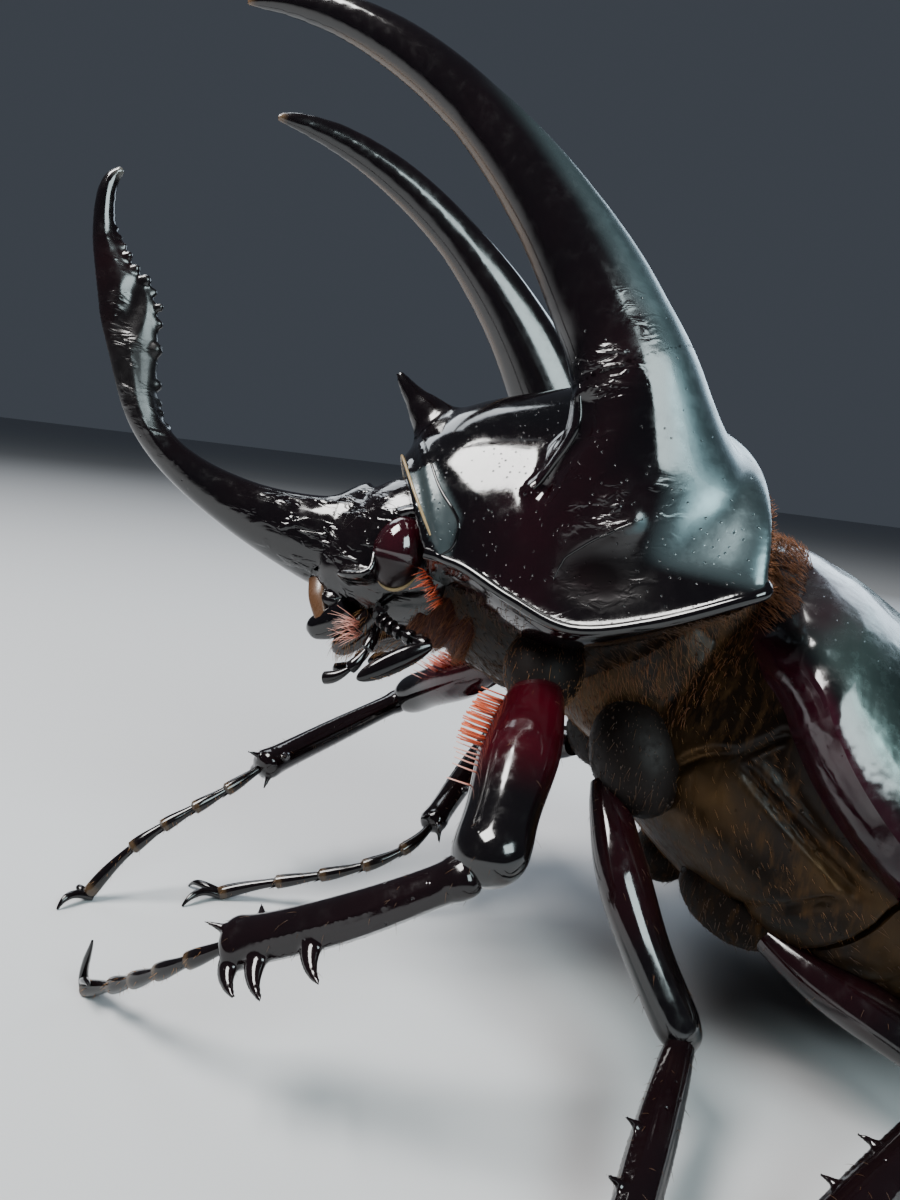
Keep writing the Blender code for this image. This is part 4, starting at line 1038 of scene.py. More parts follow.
def make_eyes(finishes):
    """Each eye is a smooth lens, parted by a fold at the cheek plate: its lower lobe is darker."""
    for side, name in SIDES:
        centre = mirrored(EYE_PLACE, side)
        points, faces = ball(centre, EYE_RADII, None, 48, 64)
        local = points - centre
        waist = bump(local[:, 2], -0.35, 0.16)
        lower = 1 - step(local[:, 2], -0.9, -0.2)
        points = centre + local * (1 - 0.045 * waist - 0.03 * lower)[:, None]
        marks = {"pits": 1.0, "glow": 0.1 - 0.5 * lower, "matt_and_shade": 0.3 * lower}
        make_piece("eye_lens_" + name, (points, faces), FORE, finishes["eye"], marks, ("eye_" + name,), 60.0)
        angle = np.linspace(-0.16 * np.pi, 0.36 * np.pi, 30)
        rim = centre + np.stack([-np.sin(angle) * 1.9, np.full(30, side * 0.6), -np.cos(angle) * 2.72], -1)
        thick = 0.16 * np.sin(np.linspace(0.15, math.pi - 0.15, 30))
        make_piece("eye_rim_" + name, tube(rim, thick, 10), FORE, finishes["cream"])


def limb_rings(start, end, radii, hinge, flatness, bow, around, count, section=None):
    """Rings of a limb: its radii given at shares of the way and smoothly joined."""
    start, end = np.asarray(start, float), np.asarray(end, float)
    along = unit(end - start)
    inner = unit(np.cross(hinge, along))
    table = smooth_rows([(share, size) for share, size in radii], 6)
    t = np.linspace(radii[0][0], radii[-1][0], count)
    sizes = np.interp(t, table[:, 0], table[:, 1])
    path = start + (end - start) * t[:, None] + inner * (bow * np.sin(np.pi * np.minimum(t, 1.0)))[:, None]
    return sweep(path, sizes, sizes * flatness, hinge, around, section)


def make_mouth(finishes):
    for side, name in SIDES:
        jaw = loft(limb_rings(*mirrored(JAW[0], side), JAW[1], (0, 1, 0), 0.85, 0.2, 32, 30))
        make_piece("jaw_" + name, jaw, FORE, finishes["black"], {"pits": 0.1}, ("mandible_" + name,))
        lobe = loft(limb_rings(*mirrored(JAW_LOBE[0], side), JAW_LOBE[1], (0, 1, 0), 0.8, 0.1, 28, 26))
        make_piece("jaw_lobe_" + name, lobe, FORE, finishes["mouth"], {}, ("maxilla_" + name,))
        make_palp(finishes, side, name)
        make_feeler(finishes, side, name)
    for side, name in SIDES:
        # the thin wall of the mouth's front edge, which ends over the jaw
        wall = smooth_rows(mirrored(MOUTH_WALL, side), 8)
        broad, thin = np.linspace(0.75, 0.5, len(wall)), np.full(len(wall), 0.2)
        make_piece("mouth_wall_" + name, loft(sweep(wall, thin, broad, (-0.8, 0.35 * side, 0.3), 24)), FORE,
                   finishes["tan"])
    lip = loft(limb_rings(*LOWER_LIP[0], LOWER_LIP[1], (0, 0, 1), 0.6, 0.0, 36, 26))
    make_piece("lower_lip", lip, FORE, finishes["mouth"], {}, ("labium",))


def jointed(controls, shares, narrow, wide, side=(0.1, 0.2, 1.0), around=24, per_joint=14, bell=0.35):
    """A chain of joints along a curve, each narrow at its root and swelling to a rim, and the rims' mark."""
    t, sizes, rims = [], [], []
    for a, b in zip(shares, shares[1:]):
        u = np.linspace(0, 1, per_joint)
        t += list(a + (b - a) * u)
        swell = np.clip(np.sin(np.pi * np.clip(u, 0, 0.96) / 0.96 * 0.62 + 0.15), 0, 1)
        swell = (swell * (1 - bell) + bell * step(u, 0.1, 0.92)) * (1 - step(u, 0.93, 1.0))
        sizes += list(narrow + (wide - narrow) * swell)
        rims += list(bump(u, 0.88, 0.07))
    t = np.array(t) + np.linspace(0, 1e-4, len(t))
    path = bezier(controls, t)
    sizes = np.array(sizes)
    return loft(sweep(path, sizes, sizes, side, around)), np.repeat(rims, around)


def make_palp(finishes, side, name):
    palp = jointed(mirrored(PALP, side), (0.0, 0.33, 0.62, 1.0), 0.2, 0.5)[0]
    make_piece("palp_joints_" + name, palp, FORE, finishes["leg"], {}, ("palp_" + name,))


def make_feeler(finishes, side, name):
    """Antenna: a first joint, small beads, and a club of leaves folded together."""
    root, bend, rear, club_end = mirrored(FEELER, side)
    shares = [0.0, 0.34] + [0.34 + 0.66 * i / 6 for i in range(1, 7)]
    stalk = jointed((root, bend, bend, rear), shares, 0.26, 0.6, per_joint=12)[0]
    turn = pointing(unit(club_end - rear))
    leaves = []
    for k in range(3):
        shift = turn @ np.array((-0.38 + 0.38 * k, 0.0, 0.0))
        radii = (0.40, 0.74, 2.92 - 0.05 * abs(k - 1))
        leaves.append(ball(rear + (club_end - rear) * 0.48 + shift, radii, turn, 28, 24))
    make_piece("feeler_" + name, joined([stalk, *leaves]), FORE, finishes["leg"], {}, ("antenna_" + name,))


def make_throat(finishes):
    """The plate under the fore body, and the folded skin of the neck before it."""
    rings = []
    for x, width, low in smooth_rows(THROAT_ROWS, 8):
        angles = turn_angles(80)
        depth = np.where(np.sin(angles) >= 0, 2.6, -2.6 - low)
        keel = 0.35 * bump(angles, 1.5 * np.pi, 0.25)
        height = -2.6 + np.sin(angles) * (depth + keel)
        rings.append(section_at(x, np.cos(angles) * width, height))
    make_piece("throat_plate", loft(rings), FORE, finishes["under"], {"pits": 0.5}, ("prosternum",))
    rings = []
    for share in np.linspace(0, 1, 40):
        fold = 0.22 * math.sin(share * 19.0)
        wide, tall = 5.9 - 1.2 * share + fold, 3.9 - 0.6 * share + fold
        angles = turn_angles(64)
        rings.append(section_at(15.2 + 6.0 * share, np.cos(angles) * wide,
                                -5.6 + 0.2 * share + np.sin(angles) * tall))
    make_piece("neck_skin", loft(rings), FORE, finishes["membrane"])


# Hind body

def wing_case_ring(row, side, outer_count=56, inner_count=20):
    """One cross-section of a wing case: its back from seam to edge, a folded rim, then the inner face."""
    x, width, edge, top = row[:4]
    front, rear, half = SCUTELLUM[:3]
    seam = GAP / 2 + max(0.0, (x - rear) / (front - rear)) * (half + GAP)
    slant = SHOULDER_SLANT * max(0.0, 1 + x / SHOULDER_LENGTH)
    thin_width, thin_top = width - WING_CASE_THICKNESS * 1.2, top - WING_CASE_THICKNESS
    angle = 0.5 * np.pi * np.linspace(0, 1, outer_count)
    across, rise = np.sin(angle), np.clip(np.cos(angle), 0, 1) ** 1.15
    groove = 0.22 * bump(across * (width - seam), 0.9, 0.35)
    height = edge + (top - edge) * rise - groove
    outer = section_at(x - slant * (1 - rise), seam + across * (width - seam), height)
    fold = np.array((x - slant, thin_width - EPIPLEURON[0], edge - EPIPLEURON[1]))
    u = np.linspace(0, 1, 12)[1:-1, None]
    bulge = np.sin(np.pi * u) * np.array((0, 0.25, -0.25))
    band = outer[-1] * (1 - u) + fold * u + bulge
    angle = 0.5 * np.pi * np.linspace(1, 0, inner_count)
    across, rise = np.sin(angle), np.clip(np.cos(angle), 0, 1) ** 1.15
    height = edge + (thin_top - edge) * rise
    inner = section_at(x - slant * (1 - rise), seam + across * (thin_width - seam), height)
    inner[0] = fold + (inner[1] - fold) * 0.15
    ring = np.vstack([outer, band, fold[None], inner])
    return mirrored(ring, side)


def make_wing_cases(finishes):
    for side, name in SIDES:
        rows = smooth_rows(HIND_ROWS, 9)
        shape = loft([wing_case_ring(row, side) for row in rows])
        points, faces = shape
        normals = normals_of(points, faces)
        points = dented(points, normals, (-3.6, side * 16.6, 0.9), (2.2, 1.9, 1.7), -0.45)
        points = dented(points, normals, (-1.2, side * 12.6, 4.4), (2.4, 2.6, 2.6), 0.35)
        x, _, z = points.T
        edge = np.interp(-x, [-row[0] for row in HIND_ROWS], [row[2] for row in HIND_ROWS])
        band = 1 - step(z - edge, 0.2, 1.4)
        outer = step(z - edge, 1.0, 2.6)
        sheen = 0.9 * outer * (1 - 0.8 * step(x, -6.5, -3.5))
        marks = {"pits": 0.5 * step(x, -12, -2) + 0.15, "glow": 0.6 * band + 0.5 * (x > -6) * step(z, 0, 3),
                 "matt_and_shade": 0.10 * outer, "sheen": sheen}
        make_piece("wing_case_" + name, (points, faces), HIND, finishes["wing"], marks, ("elytron_" + name,))


def trunk_ring(row, belly_groove=0.0, around=96):
    x, width, edge, top, belly = row
    inset = WING_CASE_THICKNESS + 1.15
    side_width = width - inset * 1.5 - belly_groove
    roof, floor = top - inset - belly_groove, belly + belly_groove
    shoulder, waist = edge + 1.5, edge - EPIPLEURON[1] - 0.6
    waist_width = max(width - WING_CASE_THICKNESS * 1.2 - EPIPLEURON[0] - 0.9, 0.3 * width)
    half = around // 2
    angle = np.pi * np.linspace(0, 1, half)
    height = shoulder + (roof - shoulder) * np.sin(angle) ** 1.1
    upper = section_at(x, np.cos(angle) * side_width, height)
    across = np.sign(np.cos(angle)) * np.abs(np.cos(angle)) ** 0.75
    lower = section_at(x, -across * waist_width, waist + (floor - waist) * np.sin(angle))
    return np.vstack([upper, lower])


def make_trunk(finishes):
    """Thorax and abdomen under the wing cases; the belly has rings."""
    def row(x):
        sized_at = x + SHOULDER_SLANT * max(0.0, 1 + x / SHOULDER_LENGTH)
        return [x] + row_at(HIND_ROWS, sized_at)[1:]

    thorax = loft([trunk_ring(row(x)) for x in np.linspace(0.8, -19.0, 60)])
    neck_path = np.linspace((-2.0, 0, -4.0), (5.0, 0, -4.0), 24)
    radii = np.interp(np.linspace(0, 1, 24), (0, 0.6, 1), (8.6, 8.6, 8.0))
    neck = loft(sweep(neck_path, radii, radii * 1.08, (0, 1, 0), 64))
    points, faces = grown_together(joined([thorax, neck]), THORAX_GRID)
    points = relaxed(points, edges_of(faces), 8, 1.0, 0.9)
    points = thorax_relief(points, faces)
    x, _, z = points.T
    glow = 0.3 * bump(x, -1.0, 3.0)
    sheen = 0.75 * step(-z, 7.0, 8.6) + 0.1
    make_piece("thorax_plates", (points, faces), HIND, finishes["under"],
               {"pits": 0.4, "glow": glow, "sheen": sheen}, ("thorax",), 80.0)
    rings = []
    stations = np.linspace(-19.3, -43.4, 120)
    for x in stations:
        phase = (x + 19.3) / (-24.1) * 6 % 1.0
        groove = 0.35 * bump(phase, 0.0, 0.12) + 0.35 * bump(phase, 1.0, 0.12) + 0.15 * phase
        rings.append(trunk_ring(row(x), groove))
    make_piece("abdomen_rings", loft(rings), HIND, finishes["under"], {"pits": 0.5, "sheen": 0.6},
               ("abdomen",))


def thorax_relief(points, faces):
    """Seams between the plates of the thorax's side and belly, each with a raised edge beside it."""
    normals = normals_of(points, faces)
    for seam in THORAX_SEAMS:
        for side in (1, -1):
            path = smooth_rows(mirrored(seam, side), 6)
            points = lined(points, normals, path, 0.42, -0.6)
            points = lined(points, normals, path + np.array((0.0, side * 0.3, 0.75)), 0.5, 0.3)
    return points


def make_scutellum(finishes):
    front, rear, half, front_top, rear_top = SCUTELLUM
    rings = []
    for share in np.linspace(0.0, 0.985, 30):
        x = front + (rear - front) * share
        width = half * (1 - share) ** 0.85 + 0.02
        top = front_top + (rear_top - front_top) * share
        angles = turn_angles(40)
        rise = np.where(np.sin(angles) > 0, np.sin(angles) * 0.3, np.sin(angles) * 1.0)
        height = top - 0.35 + rise * (1.1 - 0.5 * share)
        rings.append(section_at(x, np.cos(angles) * width, height))
    make_piece("scutellum_shield", loft(rings), HIND, finishes["black"], {"pits": 0.4}, ("scutellum",))


# Legs

def make_leg(name, joints, finishes):
    pair = name.split("_")[0]
    hip, knee, ankle, foot = (np.array(p) + LEGS_PLACE for p in joints)
    thigh, knob, shin, shin_end = LEG_WIDTHS[pair]
    thigh_way, shin_way = unit(knee - hip), unit(ankle - knee)
    hinge = unit(np.cross(thigh_way, shin_way))
    long_radius, short_radius = COXA_RADII[pair]
    hip_ball = ball(hip + np.array(COXA_SHIFT[pair]), (long_radius, short_radius, short_radius),
                    pointing(thigh_way, "X", "Z"), 28, 40)
    make_piece("hip_" + name, hip_ball, STANDING, finishes["under" if pair == "hind" else "hip"],
               {"pits": 0.4, "matt_and_shade": 0.25}, ("coxa_" + name,))
    make_thigh(name, pair, hip, knee, thigh, knob, thigh_way, hinge, finishes)
    shin_start = knee + shin_way * (knob * 0.35)
    make_shin(name, pair, shin_start, ankle, knob, shin, shin_end, hinge, finishes)
    make_foot(name, ankle, foot, shin_way, finishes)


def make_thigh(name, pair, hip, knee, thigh, knob, thigh_way, hinge, finishes):
    start = hip + thigh_way * (COXA_RADII[pair][0] * HIP_SHARE[pair])
    radii = ((0, thigh * 0.62), (0.12, thigh * 0.8), (0.4, thigh), (0.72, thigh * 0.88), (0.88, knob),
             (0.95, knob * 0.97), (1.0, knob * 0.84), (1.04, knob * 0.6), (1.07, knob * 0.15))
    rings = limb_rings(start, knee, radii, hinge, FEMUR_FLATNESS, FEMUR_BOW[pair], 48, 110)
    shape = loft(rings)
    share = np.append(np.repeat(np.linspace(0, 1.07, 110), 48), (0.0, 1.07))
    glow = (1.1 if pair == "fore" else 0.3) * (1 - step(share, 0.4, 0.75))
    marks = {"glow": glow, "pits": 0.12 + 0.35 * step(share, 0.75, 0.95)}
    make_piece("thigh_" + name, shape, STANDING, finishes["maroon"], marks, ("femur_" + name,))


def make_shin(name, pair, start, end, knob, shin, shin_end, hinge, finishes):
    """Tibia with its hooked teeth and spurs grown into it."""
    along = unit(end - start)
    outer = unit(np.cross(along, hinge))
    if outer[2] > 0:
        outer = -outer
    radii = ((-0.03, knob * 0.3), (0.0, knob * 0.56), (0.06, knob * 0.6), (0.14, shin * 0.92),
             (0.5, shin * 1.05), (0.85, shin_end * 0.9), (0.95, shin_end), (0.99, shin_end * 0.8),
             (1.012, shin_end * 0.35))
    rings = limb_rings(start, end, radii, hinge, 0.8, TIBIA_BOW[pair], 40, 70)
    pieces = [loft(rings)]
    for degrees, thick in ((-90, 0.2), (-40, 0.14), (40, 0.14), (90, 0.2), (140, 0.12)):
        # lengthwise ridges of the shin
        column = int(round((degrees % 360) / 9.0)) % 40
        ridge = rings[8:66, column]
        pieces.append(tube(ridge, thick * np.sin(np.linspace(0.35, math.pi - 0.2, len(ridge)))))
    if pair == "fore":
        for share, length in FORE_TEETH:
            root = start + (end - start) * share + outer * (shin * 0.35)
            controls = (root, root + outer * length * 0.5 + along * 0.7,
                        root + outer * length * 0.9 + along * 0.3,
                        root + outer * (length + shin * 0.6) - along * 0.7)
            t = np.linspace(0, 1, 18)
            sizes = np.interp(t, (0.0, 0.34, 0.67, 0.92, 1.0), (0.95, 0.75, 0.42, 0.2, 0.1))
            pieces.append(loft(sweep(bezier(controls, t), sizes, sizes * 0.7, hinge, 20)))
        root = start + (end - start) * 0.86 - outer * (shin_end * 0.3)
        pieces.append(spike(root, root - outer * (shin_end * 1.15) + along * 0.5, 0.6))
    else:
        for share in (0.45, 0.68):
            root = start + (end - start) * share - outer * (shin * 0.3)
            pieces.append(spike(root, root - outer * (shin + 1.0) + along * 0.9, 0.5))
    spurs = ((0.0, 1.0), (1.0, 0.35), (-1.0, 0.35))
    for across, back in spurs[1 if pair == "fore" else 0:]:
        way = unit(hinge * across - outer * back)
        root = end - along * 1.0 + way * shin_end * 0.3
        pieces.append(spike(root, root + way * (shin_end * 0.9) + along * 1.9, 0.45))
    points, faces = grown_together(joined(pieces), SHIN_GRID)
    points = relaxed(points, edges_of(faces), 4, 1.0, 0.85)
    make_piece("shin_" + name, (points, faces), STANDING, finishes["leg"], {"pits": 0.3, "glow": 0.1},
               ("tibia_" + name,), 80.0)


def spike(base, tip, radius):
    t = np.linspace(0, 1, 12)
    path = np.asarray(base) + (np.asarray(tip) - np.asarray(base)) * t[:, None]
    return loft(sweep(path, radius * (1 - t * 0.92), radius * (1 - t * 0.92), (0.31, 0.22, 0.93), 14))


def make_foot(name, ankle, foot, shin_way, finishes):
    """Five bell-shaped joints with pale rims, and two claws."""
    up = np.array((0, 0, 1.0))
    near_rise, far_rise = FOOT_ARCH.get(name, (0.0, 0.0))
    length = np.linalg.norm(foot - ankle)
    path = (ankle - shin_way * 0.2, ankle + shin_way * length * 0.35 + up * near_rise,
            foot + (ankle - foot) * 0.3 + up * far_rise, foot)
    shape, rims = jointed(path, TARSUS_SHARES, 0.36, 0.62, bell=0.6)
    pale = np.append(rims, (0, 0)) * 0.3
    spurs = []
    for stop in TARSUS_SHARES[1:-1]:
        here, ahead = bezier(path, stop), unit(bezier(path, stop + 0.02) - bezier(path, stop - 0.02))
        across = unit(np.cross(ahead, up))
        for turn in (1, -1):
            way = unit(ahead - up * 0.55 + across * (0.6 * turn))
            base = here - ahead * 0.55 + across * (turn * 0.3) - up * 0.15
            spurs.append(spike(base, here + way * 0.95 - ahead * 0.3, 0.13))
    points, faces = joined([shape, *spurs])
    pale = np.append(pale, np.zeros(len(points) - len(pale)))
    points[:, 2] = np.maximum(points[:, 2], 0.0)
    make_piece("foot_" + name, (points, faces), STANDING, finishes["leg"], {"pale": pale},
               ("tarsus_" + name,))
    way = unit(foot - bezier(path, 0.9))
    ahead = unit((way[0], way[1], 0.0))
    left = np.array((-ahead[1], ahead[0], 0.0))
    hooks = []
    for turn, (forward, across, rise) in zip((1, -1), CLAW_ENDS.get(name, PLAIN_CLAWS)):
        reach = ahead * forward + left * across
        controls = (foot - ahead * 0.5 + left * (turn * 0.13), foot + ahead * 1.0 + reach * 0.15 + CLAW_ARCH,
                    foot + reach * 0.8 + up * (rise * 0.6) + CLAW_ARCH, foot + reach + up * rise)
        t = np.linspace(0, 1, 24)
        sizes = np.interp(t, *zip(*CLAW_RADII))
        hooks.append(loft(sweep(bezier(controls, t), sizes, sizes * 0.85, (0.3, 0.5, 1), 14)))
    points, faces = joined(hooks)
    points[:, 2] = np.maximum(points[:, 2], 0.0)
    make_piece("claws_" + name, (points, faces), STANDING, finishes["leg"])


# Hairs and bristles

def bristle_tree():
    """Nodes that grow one tapered bristle on each point, by its marks for aim, girth and sag."""
    tree = bpy.data.node_groups.new("Bristles", "GeometryNodeTree")
    for label, kind in (("Roots", "Geometry"), ("Finish", "Material"), ("Sides", "Int"), ("Joints", "Int"),
                        ("Tip width", "Float")):
        tree.interface.new_socket(label, in_out="INPUT", socket_type="NodeSocket" + kind)
    tree.interface.new_socket("Bristles", in_out="OUTPUT", socket_type="NodeSocketGeometry")
    given, out = tree.nodes.new("NodeGroupInput").outputs, tree.nodes.new("NodeGroupOutput").inputs

    def add(kind, inputs=None, **settings):
        return add_node(tree, kind, inputs, **settings).outputs

    def named(label, kind="FLOAT_VECTOR"):
        return add("GeometryNodeInputNamedAttribute", {"Name": label}, data_type=kind)["Attribute"]

    cone = add("GeometryNodeMeshCone", {"Vertices": given["Sides"], "Side Segments": given["Joints"],
                                        "Radius Top": given["Tip width"], "Radius Bottom": 1.0, "Depth": 1.0},
               fill_type="NGON")["Mesh"]
    height = add("ShaderNodeSeparateXYZ", {0: add("GeometryNodeInputPosition")[0]})["Z"]
    cone = add("GeometryNodeStoreNamedAttribute", {"Name": "way", "Geometry": cone, "Value": height},
               data_type="FLOAT", domain="POINT")["Geometry"]
    turn = add("FunctionNodeAlignRotationToVector", {"Vector": named("aim")}, axis="Z")["Rotation"]
    grown = add("GeometryNodeInstanceOnPoints", {"Points": given["Roots"], "Instance": cone, "Rotation": turn,
                                                 "Scale": named("girth")})[0]
    real = add("GeometryNodeRealizeInstances", {0: grown})[0]
    squared = add("ShaderNodeMath", {0: named("way", "FLOAT"), 1: 2.0}, operation="POWER")[0]
    droop = add("ShaderNodeVectorMath", {0: named("sag"), "Scale": squared}, operation="SCALE")[0]
    bent = add("GeometryNodeSetPosition", {"Geometry": real, "Offset": droop})[0]
    painted = add("GeometryNodeSetMaterial", {"Geometry": bent, "Material": given["Finish"]})[0]
    tree.links.new(painted, out[0])
    return tree


BRISTLE_TREE = bristle_tree()
PATCH = 0.003


def grow_bristles(name, finish, roots, aims, lengths, widths, sags, sides=3, joints=4, tip=0.12):
    """One piece of bristles, in world millimetres; OFBake gives each a small patch at its root's place."""
    roots, aims = np.asarray(roots, float), unit(aims)
    count = len(roots)
    mesh = bpy.data.meshes.new(name + "_roots")
    mesh.from_pydata((roots * MM).tolist(), [], [])
    lengths, widths = np.broadcast_to(lengths, count), np.broadcast_to(widths, count)
    for label, values in (("aim", aims), ("girth", np.stack([widths, widths, lengths], -1) * MM),
                          ("sag", np.asarray(sags, float) * MM)):
        add_vectors(mesh, label, values)
    field = new_object(name + "_roots", mesh)
    modifier = field.modifiers.new("bristles", "NODES")
    modifier.node_group = BRISTLE_TREE
    sockets = {item.name: item.identifier for item in BRISTLE_TREE.interface.items_tree
               if item.in_out == "INPUT"}
    for label, value in (("Finish", finish), ("Sides", sides), ("Joints", joints), ("Tip width", tip)):
        modifier[sockets[label]] = value
    grown = finished_mesh(field)
    bpy.data.meshes.remove(mesh)
    grown.name = name
    for label in ("aim", "girth", "sag"):
        if label in grown.attributes:
            grown.attributes.remove(grown.attributes[label])
    lay_out(grown, roots, count)
    grown.shade_smooth()
    piece = new_object(name, grown)
    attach(piece, BODY)
    return piece


def lay_out(mesh, roots, count):
    """The OFBake map: the roots' places on a flat unwrap of their skin, and a tiny patch for each bristle."""
    middle = roots - roots.mean(0)
    axes = np.linalg.svd(middle, full_matrices=False)[2][:2]
    flat = middle @ axes.T
    flat = 0.02 + 0.95 * (flat - flat.min(0)) / (np.ptp(flat, axis=0).max() + 1e-9)
    per_bristle = len(mesh.vertices) // count
    corners = np.empty(len(mesh.loops), int)
    mesh.loops.foreach_get("vertex_index", corners)
    way = np.empty(len(mesh.vertices))
    mesh.attributes["way"].data.foreach_get("value", way)
    across = (corners % per_bristle % 3) / 2.0
    own = np.minimum(corners // per_bristle, count - 1)
    places = flat[own] + PATCH * np.stack([across, way[corners]], -1)
    layer = mesh.uv_layers.new(name="OFBake")
    layer.uv.foreach_set("vector", places.ravel())


def roots_on(skin, count, seed, weight=None):
    """Random roots on a remembered skin, with the skin's normals, in world millimetres."""
    points, faces, matrix = SKINS[skin]
    triangles = np.array([(face[0], face[k], face[k + 1]) for face in faces for k in range(1, len(face) - 1)])
    a, b, c = points[triangles[:, 0]], points[triangles[:, 1]], points[triangles[:, 2]]
    cross = np.cross(b - a, c - a)
    area = np.linalg.norm(cross, axis=1)
    if weight is not None:
        area = area * np.clip(weight(*((a + b + c) / 3).T), 0, None)
    draw = np.random.default_rng(seed)
    picked = draw.choice(len(area), count, p=area / area.sum())
    u, v = draw.random(count), draw.random(count)
    over = u + v > 1
    u[over], v[over] = 1 - u[over], 1 - v[over]
    here = a[picked] + (b - a)[picked] * u[:, None] + (c - a)[picked] * v[:, None]
    outward = normals_of(points, faces)[triangles[picked]].mean(1)
    return moved(here, matrix), unit(outward @ matrix[:3, :3].T)


def combed(normals, flow, lift, spread, seed):
    """Aims that lie along the flow on the skin, lifted and a little untidy."""
    draw = np.random.default_rng(seed)
    flow = np.broadcast_to(np.asarray(flow, float), normals.shape)
    lying = unit(flow - normals * (normals * flow).sum(1)[:, None])
    return unit(lying + normals * lift + draw.normal(0, spread, normals.shape))


def coat(name, finish, skin, count, length, width, flow, lift, sag, seed, weight=None, spread=0.25, joints=3):
    """Hairs over a skin, or over the part of it that the weight picks."""
    roots, normals = roots_on(skin, count, seed, weight)
    aims = combed(normals, flow, lift, spread, seed + 1)
    draw = np.random.default_rng(seed + 2)
    lengths = length * draw.uniform(0.6, 1.25, count)
    droop = (lengths * sag)[:, None]
    droop = unit(np.broadcast_to(flow, normals.shape)) * droop - normals * (droop * 0.6)
    widths = width * draw.uniform(0.8, 1.2, count)
    return grow_bristles(name, finish, roots - normals * 0.05, aims, lengths, widths, droop, joints=joints)


def world_way(matrix, way):
    return unit(np.asarray(way, float) @ matrix[:3, :3].T)


def make_hairs(finishes):
    back, down, ahead = world_way(FORE, (-1, 0, 0)), world_way(FORE, (0, 0, -1)), world_way(FORE, (1, 0, 0))
    tail, belly = world_way(HIND, (-1, 0, 0)), world_way(HIND, (0, 0, -1))
    coat("gap_velvet", finishes["amber"], "pronotum_shield", 2200, 0.6, 0.032, back, 0.3, 0.25, 101,
         lambda x, y, z: (x < 0.2) * step(z, -0.5, 1.0) * (1 - step(z, 5.5, 7.5)) * (x > -1.5), joints=2)
    for side, name in SIDES:
        coat("wing_root_velvet_" + name, finishes["amber"], "wing_case_" + name, 2800, 0.7, 0.032, -tail, 1.2,
             0.2, 111 + side,
             lambda x, y, z: (x > -0.8 - 0.12 * np.abs(y)) * (x > -3.2) * step(z, 0.6, 2.6), joints=2)
        coat("under_fringe_" + name, finishes["brown"], "pronotum_shield", 260, 0.7, 0.028, down * 0.8 + back,
             0.4, 0.3, 121 + side,
             lambda x, y, z, side=side: (y * side > 8) * (x < 4.5) * (z < 0.2 - 0.48 * x)
             * (np.abs(y) < 17.6))
        coat("collar_fringe_" + name, finishes["brown"], "pronotum_shield", 220, 0.5, 0.028, down, 0.7, 0.2,
             131 + side, lambda x, y, z, side=side: (y * side > 4) * (x > 12.5) * (z < -4.4))
        eye_ruff(finishes, name, side)
        mouth_brush(finishes, name, side)
        feeler_fringe(finishes, name, side)
        coat("lobe_hair_" + name, finishes["gold"], "jaw_lobe_" + name, 140, 0.9, 0.03, down, 0.7, 0.2,
             151 + side)
    coat("lip_hair", finishes["gold"], "lower_lip", 260, 0.9, 0.03, ahead * 0.6 + down, 0.6, 0.2, 161)
    coat("neck_hair", finishes["amber"], "neck_skin", 2400, 0.8, 0.03, down + ahead * 0.3, 0.7, 0.3, 165,
         lambda x, y, z: 1.0 * (z < -3.5))
    coat("throat_hair", finishes["brown"], "throat_plate", 4200, 0.75, 0.03, down * 0.4 + back, 0.5, 0.3, 171,
         lambda x, y, z: 1.0 * (z < -3.0))
    coat("breast_hair", finishes["gold"], "thorax_plates", 9000, 0.6, 0.014, tail + belly * 0.3, 0.35, 0.25,
         181, lambda x, y, z: (z < 3.0) * (0.25 + bump(x, 1.0, 4.5)))
    coat("breast_fringe", finishes["amber"], "thorax_plates", 3400, 0.8, 0.028, tail + belly, 0.5, 0.3, 191,
         lambda x, y, z: (x > -3.0) * (z < 4.5) * (np.abs(y) > 3.0))
    coat("belly_hair", finishes["brown"], "abdomen_rings", 3600, 0.6, 0.026, tail, 0.3, 0.2, 195,
         lambda x, y, z: 1.0 * (z < -2.5))
    for index, name in enumerate(LEGS):
        leg_hairs(finishes, name, 300 + 20 * index)


def eye_ruff(finishes, name, side):
    """A row of stiff red bristles behind the eye."""
    draw = np.random.default_rng(141 + side)
    count = 46
    line = np.linspace(0, 1, count)[:, None] * world_way(FORE, (-0.75, 0.05 * side, -0.75)) * 2.6
    roots = moved(mirrored((19.9, 7.0, -4.0), side), FORE) + line + draw.normal(0, 0.12, (count, 3))
    aims = world_way(FORE, (0.5, 0.75 * side, -0.25)) + draw.normal(0, 0.2, (count, 3))
    grow_bristles("eye_ruff_" + name, finishes["copper"], roots, aims, draw.uniform(0.9, 1.4, count), 0.07,
                  world_way(HIND, (0, 0, -1)) * 0.25, joints=3)


def mouth_brush(finishes, name, side):
    """A brush of stiff bristles that points forward from beside the mouth."""
    draw = np.random.default_rng(205 + side)
    count = 36
    base = moved(mirrored((23.6, 4.3, -9.6), side), FORE)
    line = world_way(FORE, (0.35, -0.1 * side, 1.0))
    roots = base + line * draw.uniform(-0.7, 0.9, count)[:, None] + draw.normal(0, 0.2, (count, 3))
    fan = draw.uniform(-0.9, 0.55, count)[:, None]
    aims = world_way(FORE, (1.0, 0.15 * side, -0.1)) + world_way(FORE, (0, 0, 1)) * fan
    aims = aims + draw.normal(0, 0.12, (count, 3))
    grow_bristles("mouth_brush_" + name, finishes["pink"], roots, aims, draw.uniform(1.3, 2.4, count), 0.042,
                  world_way(FORE, (0, 0, -1)) * 0.15, joints=3)


